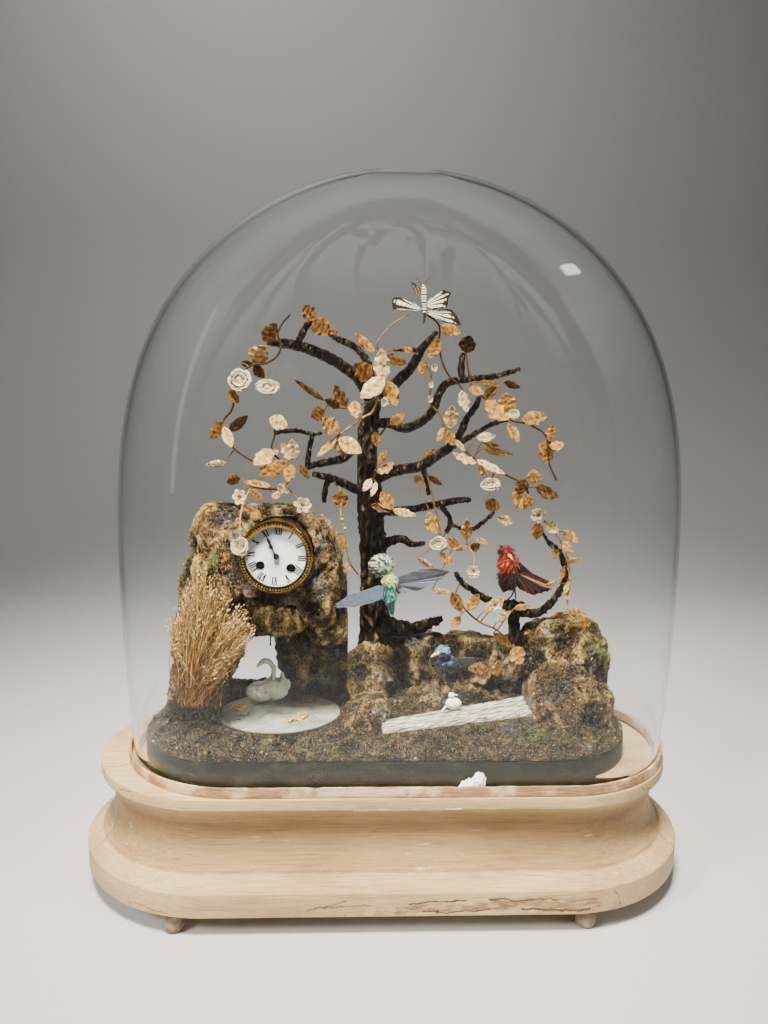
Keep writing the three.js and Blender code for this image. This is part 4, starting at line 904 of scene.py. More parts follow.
def scatter(piece, model, count, size, seed, tones=(0.1, 1.0), squash=0.7, test=None, long=None):
    rng = random.Random(seed)
    faces = [f for f in piece.data.polygons if test is None or test(f.center, f.normal)]
    faces = faces or list(piece.data.polygons)
    places = []
    for step in range(count):
        face = rng.choice(faces)
        wide = rng.uniform(*size) * mm
        tall = rng.uniform(*long) * mm if long else wide * squash
        lean = (face.normal + Vector([rng.uniform(-1, 1) for k in range(3)]) * 0.7).normalized()
        turn = turnTo(lean if long else face.normal, rng.uniform(0, 6.28))
        form = Matrix.Diagonal((wide, wide * rng.uniform(0.6, 1), tall, 1))
        places.append((Matrix.Translation(face.center) @ turn @ form, rng.uniform(*tones)))
    return flock(model, places, "scatter")


print("models made")

# The base: two feet before and two behind, under a moulded oval platform with damaged veneer.
baseParts = {"straight": 164.7, "end": 138.45, "low": 20, "top": 123.3, "topEnd": 123.2,
             "feetX": (-193.5, 182.3), "feetY": 123}


def makeBase():
    end = baseParts["end"]
    topEnd = baseParts["topEnd"]
    profile = rounded([(0, 20), (end, 20), (end, 42.4), (137.2, 43.6), (124, 52.8), (122.7, 55.6),
                       (119.4, 57.6), (113.2, 68), (110.5, 85), (114, 103), (121.6, 111.4),
                       (topEnd, 112.8), (topEnd, 123.3), (0, 123.3)],
                      [1.2, 0.7, 0.7, 0.8, 0.6, 1.4, 5, 8, 7, 0.8, 0.6, 1.6])
    piece = sweepStadium("woodBase", profile, baseParts["straight"], turns=64, steps=56)
    pick(piece)
    bpy.ops.object.mode_set(mode="EDIT")
    bpy.ops.mesh.select_all(action="SELECT")
    chooseFaces(piece, lambda f: 0.021 < f.calc_center_median().z < 0.1225)
    bpy.ops.mesh.subdivide(number_cuts=1)
    net = bmesh.from_edit_mesh(piece.data)
    for vert in net.verts:
        x, y, z = (v / mm for v in vert.co)
        if y > -60 or z > 123 or z < 20.4:
            continue
        rough = noise.noise((x * 0.09, z * 0.05, 3.0))
        edge = noise.noise((x * 0.35, z * 0.6, 9.0))
        if z < 24 and edge > 0.12:
            vert.co.z += min(1.6, (edge - 0.12) * 6) * mm
        inset = 0.35 * max(0, rough) + 0.25 * max(0, edge)
        for px, wide, low, high in ((-66, 60, 20, 40), (60, 92, 20, 36), (205, 30, 20, 42)):
            if abs(x - px) < wide and low < z < high:
                inset += 0.5 * max(0, noise.noise((x * 0.12, z * 0.9, 5.0)))
        vert.co.y += inset * mm
    bmesh.update_edit_mesh(piece.data)
    bpy.ops.object.mode_set(mode="OBJECT")
    smooth(piece, 35)
    handIn(piece, "pale_wood", "wood_base", paint=paints["paleWood"])
    return piece


def makeFeet():
    names = (("front", -1), ("back", 1))
    for depth, sign in names:
        for side, x in zip(("left", "right"), baseParts["feetX"]):
            profile = [(0, 0), (6.6, 0), (8.0, 1.4), (9.4, 4), (9.85, 8), (9.3, 13), (7.6, 17.5),
                       (7.0, 19.7), (0, 19.7)]
            curve = [(r, z) for r, z in profile]
            deselect()
            bpy.ops.mesh.primitive_circle_add(vertices=36, radius=0.0001)
            foot = bpy.context.object
            bpy.ops.object.mode_set(mode="EDIT")
            bpy.ops.mesh.select_mode(type="VERT")
            bpy.ops.mesh.select_all(action="SELECT")
            for radius, z in curve[1:-1]:
                bpy.ops.mesh.extrude_region_move()
                chosen = bmesh.from_edit_mesh(foot.data)
                for vert in chosen.verts:
                    if vert.select:
                        away = Vector((vert.co.x, vert.co.y)).normalized() * radius * mm
                        vert.co = (away.x, away.y, z * mm)
                bmesh.update_edit_mesh(foot.data)
            bpy.ops.mesh.edge_face_add()
            bpy.ops.object.mode_set(mode="OBJECT")
            foot.location = (x * mm, sign * baseParts["feetY"] * mm, 0)
            settle(foot)
            outward(foot)
            foot.name = "foot" + depth.title() + side.title()
            smooth(foot, 50)
            handIn(foot, "brown_wood", "foot_" + depth + "_" + side, paint=paints["foot"])


def makeHoop():
    outer, thick, low, high = 121.4, 2.4, 123.65, 133.1
    profile = rounded([(outer - thick, (low + high) / 2), (outer - thick, low), (outer, low),
                       (outer, high), (outer - thick, high), (outer - thick, (low + high) / 2)], 0.5)
    hoop = sweepStadium("domeHoop", profile, 152, 13, turns=64, steps=60)
    pick(hoop)
    bpy.ops.object.mode_set(mode="EDIT")
    net = bmesh.from_edit_mesh(hoop.data)
    for vert in net.verts:
        x, y, z = (v / mm for v in vert.co)
        if y < -100 and z > 131:
            vert.co.z -= 1.3 * max(0, noise.noise((x * 0.07, 1.0, 2.0))) * mm
        if y < -120.9 and -64 < x < 12 and z < 131:
            vert.co.y += 0.5 * mm
    bmesh.update_edit_mesh(hoop.data)
    bpy.ops.object.mode_set(mode="OBJECT")
    smooth(hoop, 40)
    handIn(hoop, "brown_wood", "dome_hoop", paint=paints["brownWood"])


makeBase()
makeFeet()
makeHoop()
print("base and hoop made")

# The oval dome: each height is two half circles joined by straight sides, closing at the top.
domeParts = {"x": 14, "foot": 268.4, "belly": 277.9, "bellyAt": 322, "top": 692.9,
             "deep": 117.4, "low": 123.7, "glass": 4}


def domeHalves(z):
    part = domeParts
    swell = min(1, (z - part["low"]) / (part["bellyAt"] - part["low"]))
    belly = part["foot"] + (part["belly"] - part["foot"]) * math.sin(swell * math.pi / 2)
    rise = max(0, (z - part["bellyAt"]) / (part["top"] - part["bellyAt"]))
    long = belly * max(0, 1 - rise ** 2.75) ** (1 / 1.89)
    crownAt = part["top"] - (part["top"] - part["bellyAt"]) * 0.62
    crown = max(0, (z - crownAt) / (part["top"] - crownAt))
    deep = part["deep"] + 3 * math.sin(swell * math.pi / 2)
    deep *= max(0, 1 - crown ** 2.2) ** (1 / 2.2)
    return long, min(deep, long)


def makeDome():
    part = domeParts
    laps, rows = 168, 90
    deselect()
    bpy.ops.mesh.primitive_grid_add(x_subdivisions=laps, y_subdivisions=rows, size=1)
    dome = bpy.context.object
    bpy.ops.object.mode_set(mode="EDIT")
    net = bmesh.from_edit_mesh(dome.data)
    for vert in net.verts:
        lap, climb = vert.co.x + 0.5, vert.co.y + 0.5
        z = part["low"] + (part["top"] - part["low"]) * math.sin(climb ** 1.05 * math.pi / 2) ** 0.85
        long, deep = domeHalves(z)
        side = 1 if lap < 0.5 else -1
        share = (lap % 0.5) * 2
        angle = (share - 0.5) * math.pi
        if climb > 0.999:
            long, deep, z = 0, 0, part["top"]
        x = side * (long - deep + deep * math.cos(angle))
        y = side * deep * math.sin(angle)
        if abs(lap - 0.5) < 0.001 or lap < 0.001 or lap > 0.999:
            x = 0
            y = -deep if lap < 0.001 or lap > 0.999 else deep
        vert.co = ((part["x"] + x) * mm, y * mm, z * mm)
    bmesh.update_edit_mesh(dome.data)
    bpy.ops.object.mode_set(mode="OBJECT")
    outward(dome)
    modify(dome, "SOLIDIFY", thickness=part["glass"] * mm, offset=-1, use_even_offset=True)
    smooth(dome)
    dome.name = "glassDome"
    dome.visible_shadow = False
    handIn(dome, "clear_glass", "glass_dome", paint=paints["glass"])


makeDome()
print("dome made")

# The board and the modelled ground on it.
groundParts = {"x": 1.5, "straight": 154, "end": 91.3, "board": 123.65, "boardTop": 143.5}


def groundHeight(x, y):
    inside = 92 - math.hypot(max(0, abs(x - 1.5) - 154), y)
    lift = min(1, max(0, inside / 42))
    back = min(1, max(0, (y + 92) / 184))
    wave = (math.sin(0.22 * x) * math.cos(0.26 * y - 0.1 * x) + 0.6 * math.sin(0.34 * y + 0.16 * x))
    return 146 + 26 * math.sin(lift * math.pi / 2) * (0.45 + 0.55 * back) + 1.5 * wave


def makeBoard():
    part = groundParts
    profile = rounded([(0, part["board"]), (92, part["board"]), (92, part["boardTop"]),
                       (0, part["boardTop"])], 1.2)
    board = sweepStadium("groundBoard", profile, part["straight"], part["x"], steps=40)
    smooth(board, 40)
    handIn(board, "green_edge", "ground_board", paint=paints["green"])


# Where the skin may be pushed: not on the flat underside, under the pond or under the rods.
def groundFree(co):
    x, y, z = (v / mm for v in co)
    if z < 145 or math.hypot((x + 108) / 63, (y + 14) / 53) < 1:
        return 0
    along = (x + 4) / 160
    if -0.05 < along < 1.05 and -76 + 54 * along < y < -42 + 54 * along:
        return 0.1
    inside = 92 - math.hypot(max(0, abs(x - 1.5) - 154), y)
    return min(1, max(0.1, inside / 9))


def makeGround():
    part = groundParts
    rings = 58
    profile = [(0, 144), (part["end"], 144)]
    profile += [(part["end"] * (1 - ring / rings), 146) for ring in range(rings)] + [(0, 146)]
    ground = sweepStadium("ground", profile, part["straight"], part["x"], turns=72, steps=120)
    bpy.ops.object.mode_set(mode="EDIT")
    net = bmesh.from_edit_mesh(ground.data)
    for vert in net.verts:
        x, y, z = (v / mm for v in vert.co)
        if z < 145:
            continue
        z = groundHeight(x, y)
        wide = math.hypot((x + 108) / 62.6, (y + 14) / 52.6)
        if wide < 1.0:
            z = 159.6
        elif wide < 1.12:
            z = 159.6 + (z - 159.6) * (wide - 1.0) / 0.12
        rough = 1.8 * noise.noise((x * 0.11, y * 0.11, 1.0)) + noise.noise((x * 0.33, y * 0.33, 4.0))
        away = min(1, max(0, (wide - 1.02) / 0.1))
        along = (x + 4) / 160
        if -0.05 < along < 1.05 and -74 + 54 * along < y < -44 + 54 * along:
            z = min(z, 159.2 + 5.5 * along)
            away = 0.15
        vert.co.z = (z + 0.9 * rough * away) * mm
    bmesh.update_edit_mesh(ground.data)
    bpy.ops.object.mode_set(mode="OBJECT")
    relief(ground, [(16, 5, "crag"), (6, 2.4, "crag"), (2.2, 1.0, "soft")], still=groundFree)
    smooth(ground)
    return ground


def crumbsOn(piece, count, size, seed, **more):
    return scatter(piece, models["stone"], count, size, seed, **more)


def makeGroundCover(ground):
    top = lambda at, normal: normal.z > 0.2 and at.z > 0.1455
    edge = lambda at, normal: top(at, normal) and 78 * mm < math.hypot(
        max(0, abs(at.x - 0.0015) - 0.154), at.y) < 90.5 * mm
    clearOfPond = lambda at, normal: top(at, normal) and math.hypot(
        (at.x + 0.108) / 0.064, (at.y + 0.014) / 0.054) > 1 and at.y < 0.06
    mossy = lambda at, normal: clearOfPond(at, normal) and noise.noise(at * 22) > -0.05
    cover = [
        crumbsOn(ground, 900, (0.4, 1.5), 3, test=edge, tones=(0.0, 1.0)),
        crumbsOn(ground, 1500, (0.5, 2.2), 4, test=clearOfPond, tones=(0.0, 0.92)),
        scatter(ground, models["hair"], 5200, (0.16, 0.34), 5, tones=(0.0, 0.62), test=mossy,
                long=(1.6, 4.6)),
    ]
    piece = joined(cover, "groundCover")
    return handIn(piece, "rockwork", paint=paints["crumbs"])


ground = makeGround()
makeBoard()
makeGroundCover(ground)
handIn(ground, "rockwork", "groundwork", paint=paints["ground"])
print("ground made")

# Rockwork: rough lumps run together, each lump a middle and its half sizes.
rocks = {
    "clock_rock": {"voxel": 1.5, "lumps": [
        ((-116, -10, 322), (68, 46, 51)), ((-158, -5, 340), (32, 34, 36)),
        ((-165, -10, 292), (37, 42, 44)), ((-180, -8, 240), (32, 40, 52)),
        ((-192, -6, 182), (26, 42, 44)), ((-64, -14, 285), (22, 34, 36)),
        ((-57, -4, 256), (19, 28, 24)), ((-99, 28, 232), (13, 17, 44)),
        ((-92, 34, 184), (15, 18, 40)), ((-112, -8, 262), (36, 34, 17)),
        ((-58, 34, 205), (20, 18, 62)), ((-78, 46, 212), (34, 9, 56))]},
    "rear_rock": {"voxel": 1.25, "lumps": [
        ((-14, 28, 184), (27, 26, 34)), ((30, 55, 190), (62, 30, 36)),
        ((100, 52, 186), (58, 32, 38)), ((132, 40, 196), (26, 26, 26)),
        ((70, 12, 164), (44, 22, 12))]},
    "right_rock": {"voxel": 1.2, "lumps": [
        ((186, -14, 172), (43, 42, 40)), ((196, 24, 200), (42, 44, 52)),
        ((172, 42, 196), (30, 30, 44))]},
    "front_boulder": {"voxel": 0.8, "lumps": [
        ((-15, -34, 170), (21, 18, 18)), ((-22, -44, 163), (20, 14, 12))]},
}
rockRooms = {"clock_rock": ((-216, -52, 159), (-39, 54, 375)),
             "rear_rock": ((-40, -9, 160), (156, 85, 224)),
             "right_rock": ((145, -55, 157), (235, 74, 249)),
             "front_boulder": ((-41, -58, 159), (4, -17, 187))}


def inPond(at, grow=1.0):
    return math.hypot((at.x + 0.108) / (0.062 * grow), (at.y + 0.014) / (0.052 * grow)) < 1


def makeRock(name):
    part = rocks[name]
    low, high = rockRooms[name]
    lumps = []
    for middle, halves in part["lumps"]:
        deselect()
        bpy.ops.mesh.primitive_ico_sphere_add(subdivisions=4, radius=1)
        ball = bpy.context.object
        ball.scale = [(v + 0.5) * mm for v in halves]
        ball.location = Vector(middle) * mm
        lumps.append(settle(ball))
    piece = fused(lumps, camel(name, "Skin"), part["voxel"])
    grow = 0.55 if name == "front_boulder" else 1.0
    relief(piece, [(34 * grow, 11 * grow, "crag"), (12 * grow, 5 * grow, "crag"),
                   (4, 1.6 * grow, "soft")], (1, 1, 1.4), 1.15)
    net = bmesh.new()
    net.from_mesh(piece.data)
    for vert in net.verts:
        for axis in range(3):
            vert.co[axis] = min(max(vert.co[axis], low[axis] * mm), high[axis] * mm)
        if name == "clock_rock" and vert.co.z < 0.1632 and inPond(vert.co, 1.01):
            vert.co.z = 0.1632
    net.to_mesh(piece.data)
    net.free()
    if name == "clock_rock":
        carve(piece, disc("well", 35, -80, -62.5, (-104, 333)))
        carve(piece, disc("drumWell", 33.6, -64, -22, (-104, 333)))
    crumbs = 900 if name == "clock_rock" else 420
    crumbs = 110 if name == "front_boulder" else crumbs
    inside = lambda at, normal: (at.z > (low[2] + 5) * mm and at.z < (high[2] - 3) * mm
                                 and low[0] * mm + 0.003 < at.x < high[0] * mm - 0.003
                                 and low[1] * mm + 0.003 < at.y < high[1] * mm - 0.003
                                 and math.hypot(at.x + 0.104, at.z - 0.333) > 0.037)
    cover = [crumbsOn(piece, crumbs, (0.5, 1.9), 11, test=inside, squash=0.8, tones=(0.0, 0.94)),
             scatter(piece, models["hair"], crumbs * 4, (0.14, 0.3), 12, tones=(0.1, 0.62),
                     test=lambda at, n: inside(at, n) and noise.noise(at * 26) > -0.1,
                     long=(1.2, 3.2))]
    cover = joined(cover, camel(name, "Cover"))
    handIn(cover, "rockwork", paint=paints["crumbs"])
    paint = "boulder" if name == "front_boulder" else "rock"
    smooth(piece)
    handIn(piece, "rockwork", name, paint=paints[paint])
    print("made " + name)


for rockName in rocks:
    makeRock(rockName)

# The mirror pond and the four twisted rods that stand for running water.
pondParts = {"x": -108, "y": -14, "half": (62, 52), "low": 160.4, "high": 162.3}


def makePond():
    part = pondParts
    deselect()
    bpy.ops.mesh.primitive_cylinder_add(vertices=96, radius=1, depth=1)
    pond = bpy.context.object
    pond.scale = (61.8 * mm, 51.8 * mm, (part["high"] - part["low"]) * mm)
    pond.location = (part["x"] * mm, part["y"] * mm, (part["high"] + part["low"]) / 2 * mm)
    settle(pond)
    modify(pond, "BEVEL", width=0.5 * mm, segments=2, angle_limit=math.radians(50))
    pond.name = "pondMirror"
    smooth(pond, 40)
    handIn(pond, "mirror_glass", "pond_mirror", paint=paints["mirror"])


rodParts = {"radius": 3.35, "left": (-4, 163.5), "right": (156, 169), "spread": (-50, 4),
            "step": (5.3, 12.5), "turns": 2.2}


def makeRods():
    part = rodParts
    rods = []
    for count in range(4):
        start = Vector((part["left"][0], part["spread"][0] - count * part["step"][0],
                        part["left"][1])) * mm
        end = Vector((part["right"][0], part["spread"][1] - count * part["step"][1],
                      part["right"][1])) * mm
        deselect()
        bpy.ops.mesh.primitive_circle_add(vertices=20, radius=part["radius"] * mm,
                                          fill_type="NGON")
        rod = bpy.context.object
        bpy.ops.object.mode_set(mode="EDIT")
        net = bmesh.from_edit_mesh(rod.data)
        for i, vert in enumerate(net.verts):
            if i % 4 in (1, 2):
                vert.co *= 0.78
        bmesh.update_edit_mesh(rod.data)
        bpy.ops.mesh.select_mode(type="VERT")
        bpy.ops.mesh.select_all(action="SELECT")
        rings = 72
        for step in range(rings):
            bpy.ops.mesh.extrude_region_move(TRANSFORM_OT_translate={
                "value": (0, 0, (end - start).length / rings)})
            bpy.ops.transform.rotate(value=2 * math.pi * part["turns"] / rings,
                                     orient_axis="Z", center_override=(0, 0, 0))
        bpy.ops.object.mode_set(mode="OBJECT")
        rod.data.transform(Matrix.Translation(start) @ turnTo((end - start).normalized(), count))
        rods.append(outward(rod))
    piece = joined(rods, "glassRods")
    smooth(piece, 50)
    piece.visible_shadow = False
    handIn(piece, "clear_glass", "glass_rods", paint=paints["rod"])


makePond()
makeRods()
print("pond and rods made")

# The clock: a drum in the rock, an enamel dial, a beaded gilt bezel and blued hands at eleven.
clockParts = {"at": (-104, 333), "face": -65, "dial": 29, "bezel": 34, "drum": 33, "depth": 42,
              "turn": 5, "beads": 72, "numeralAt": 23.4, "numeralHigh": 6.8}


def clockTurn(hour):
    return math.radians(clockParts["turn"] + hour * 30)


def clockPoint(angle, reach, y):
    x, z = clockParts["at"]
    return Vector((x + reach * math.sin(angle), y, z + reach * math.cos(angle))) * mm


def windingPlace(side):
    angle = math.radians(side * 126 + clockParts["turn"])
    at = clockPoint(angle, 17.6, 0) / mm
    return at.x, at.z


def stroke(start, end, wide, y, thick=0.24):
    deselect()
    bpy.ops.mesh.primitive_cube_add(size=1)
    bar = bpy.context.object
    along = Vector((end[0] - start[0], 0, end[1] - start[1]))
    middle = Vector(((start[0] + end[0]) / 2, y, (start[1] + end[1]) / 2))
    bar.scale = (wide, thick, along.length)
    bar.rotation_euler = (0, math.atan2(along.x, along.z), 0)
    bar.location = middle
    return settle(bar)


def makeNumeral(text, hour):
    high = clockParts["numeralHigh"]
    spread = {"I": 1.9, "V": 3.6, "X": 3.6}
    whole = sum(spread[c] for c in text)
    x = -whole / 2
    bars = []
    for letter in text:
        wide = spread[letter]
        middle = x + wide / 2
        if letter == "I":
            bars.append(stroke((middle, -high / 2), (middle, high / 2), 1.1, 0))
        elif letter == "V":
            bars.append(stroke((middle - 1.15, high / 2), (middle, -high / 2), 1.2, 0))
            bars.append(stroke((middle + 1.15, high / 2), (middle, -high / 2), 0.58, 0.01))
        else:
            bars.append(stroke((middle - 1.15, high / 2), (middle + 1.15, -high / 2), 1.2, 0))
            bars.append(stroke((middle + 1.15, high / 2), (middle - 1.15, -high / 2), 0.58, 0.01))
        x += wide
    for level in (-high / 2, high / 2):
        bars.append(stroke((-whole / 2 + 0.25, level), (whole / 2 - 0.25, level), 0.34, 0.02))
    numeral = joined(bars, "numeral")
    numeral.data.transform(Matrix.Diagonal((mm, mm, mm, 1)))
    numeral.data.transform(Matrix.Rotation(clockTurn(hour), 4, "Y"))
    numeral.data.transform(Matrix.Translation(
        clockPoint(clockTurn(hour), clockParts["numeralAt"], clockParts["face"] - 0.07)))
    return numeral


def makeDial():
    part = clockParts
    face = part["face"]
    dial = disc("clockDial", part["dial"] - 0.1, face, face + 1, part["at"], 96)
    for side in (-1, 1):
        carve(dial, disc("hole", 3.6, face - 1, face + 2, windingPlace(side), 32))
    carve(dial, disc("hole", 1.6, face - 1, face + 2, part["at"], 24))
    smooth(dial, 40)
    handIn(dial, "enamel", "clock_dial", paint=paints["enamel"])
    names = ["I", "II", "III", "IIII", "V", "VI", "VII", "VIII", "IX", "X", "XI", "XII"]
    marks = [makeNumeral(text, hour + 1) for hour, text in enumerate(names)]
    for minute in range(60):
        angle = clockTurn(minute / 5)
        dot = disc("dot", 0.42 if minute % 5 else 0.62, -0.1, 0.1, (0, 0), 8)
        dot.data.transform(Matrix.Translation(clockPoint(angle, 27.5, face - 0.05)))
        marks.append(dot)
    for side in (-1, 1):
        x, z = windingPlace(side)
        marks.append(turnedRing("rim", [(3.62, face - 0.12), (4.3, face - 0.2), (4.5, face + 0.1),
                                        (3.62, face + 0.1), (3.62, face - 0.12)], (x, z), 32))
    piece = joined(marks, "dialMarks")
    handIn(piece, "enamel", paint=paints["ink"])


def makeBezel():
    part = clockParts
    front, face = part["face"] - 8, part["face"]
    inner, outer = part["dial"], part["bezel"]
    ring = turnedRing("clockBezel", [
        (inner - 1.1, front + 2.7), (inner - 1.1, front + 2.0), (inner + 0.4, front + 1.5),
        (inner + 0.9, front + 2.1), (inner + 2.5, front + 2.1), (inner + 2.9, front + 0.9),
        (inner + 3.5, front + 0.3), (outer - 0.8, front + 0.8), (outer - 0.1, front + 2.2),
        (outer - 0.1, face + 0.9), (inner + 0.5, face + 0.9), (inner + 0.5, front + 2.7),
        (inner - 1.1, front + 2.7)], part["at"], 144)
    smooth(ring, 35)
    at = clockPoint(0, 0, 0)
    # Painted shade: the channel the beads sit in takes the darkest gilt tone.
    toneBy(ring, lambda co: 0.05 if abs(math.hypot(co.x - at.x, co.z - at.z) / mm - inner - 1.7) < 1
           else 0.55)
    deselect()
    bpy.ops.mesh.primitive_uv_sphere_add(segments=8, ring_count=6, radius=1)
    bead = bpy.context.object
    places = []
    for count in range(part["beads"]):
        angle = 2 * math.pi * count / part["beads"]
        at = clockPoint(angle, inner + 1.7, front + 1.25)
        places.append((Matrix.Translation(at) @ Matrix.Diagonal((1.14 * mm,) * 3 + (1,)), 1.0))
    beads = flock(bead, places, "beads")
    smooth(beads)
    bpy.data.objects.remove(bead, do_unlink=True)
    bezel = joined([ring, beads], "clockBezel")
    handIn(bezel, "gilt", "clock_bezel", paint=paints["gilt"])


def makeCase():
    part = clockParts
    case = disc("clockCase", part["drum"] - 0.1, part["face"] + 1.3,
                part["face"] + part["depth"] - 0.1, part["at"], 72)
    carve(case, disc("room", part["drum"] - 3, part["face"] - 2, part["face"] + part["depth"] - 3,
                     part["at"], 72))
    smooth(case, 40)
    setTone(case.data, 0.4)
    handIn(case, "gilt", "clock_case", paint=paints["gilt"])
    glass = disc("clockGlass", part["dial"], part["face"] - 4.75, part["face"] - 4.05,
                 part["at"], 72)
    smooth(glass, 40)
    glass.visible_shadow = False
    handIn(glass, "clear_glass", "clock_glass", paint=paints["glass"])


def makeHand(name, length, wide, front, back, hour, node):
    curve = bpy.data.curves.new(name, "CURVE")
    curve.dimensions = "2D"
    curve.fill_mode = "BOTH"
    curve.extrude = (back - front) / 2 * mm
    eye = 2.7
    half = [(wide * 0.32, eye * 0.92), (wide * 0.3, length * 0.42), (wide * 1.0, length * 0.56),
            (wide * 0.9, length * 0.63), (wide * 0.3, length * 0.74), (0.05, length * 0.97)]
    edge = half + [(-x, y) for x, y in reversed(half)]
    edge += [(eye * math.sin(a), eye * math.cos(a)) for a in
             [math.radians(d) for d in range(-30, -331, -30)]]
    hole = [(1.4 * math.sin(a), 1.4 * math.cos(a)) for a in
            [math.radians(d) for d in range(0, 360, 30)]]
    for ring in (edge, hole):
        line = curve.splines.new("POLY")
        line.use_cyclic_u = True
        line.points.add(len(ring) - 1)
        for point, (x, y) in zip(line.points, ring):
            point.co = (x * mm, y * mm, 0, 1)
    pick(linked(curve, name))
    bpy.ops.object.convert(target="MESH")
    piece = bpy.context.object
    piece.data.transform(Matrix.Rotation(math.pi / 2, 4, "X"))
    piece.data.transform(Matrix.Rotation(clockTurn(hour), 4, "Y"))
    x, z = clockParts["at"]
    piece.data.transform(Matrix.Translation(Vector((x, (front + back) / 2, z)) * mm))
    outward(piece)
    piece.name = name
    handIn(piece, "blued_steel", node, body=node, paint=paints["steel"])


def makeHands():
    face = clockParts["face"]
    makeHand("hourHand", 17.4, 1.9, face - 1.6, face - 1.0, 10.917, "hour_hand")
    makeHand("minuteHand", 26.4, 1.5, face - 2.8, face - 2.2, 11, "minute_hand")
    arbor = disc("handArbor", 0.95, face - 3.4, face + 12, clockParts["at"], 24, 0.2)
    smooth(arbor, 40)
    setTone(arbor.data, 0.5)
    handIn(arbor, "gilt", "hand_arbor", paint=paints["gilt"])
    for side, word in ((-1, "left"), (1, "right")):
        place = windingPlace(side)
        peg = disc("windingSquare", 2.1, face + 0.7, face + 13.9, place, 4)
        handIn(peg, "blued_steel", "winding_square_" + word, paint=paints["steel"])
    hook = limbCurve([(270.6, 634.6, -30), (270.6, 640, -30), (270.6, 645.5, -30)],
                     [0.65, 0.7, 0.8], "pendulumHook")
    handIn(hook, "blued_steel", "pendulum_hook", paint=paints["steel"])


makeCase()
makeDial()
makeBezel()
makeHands()
print("clock made")

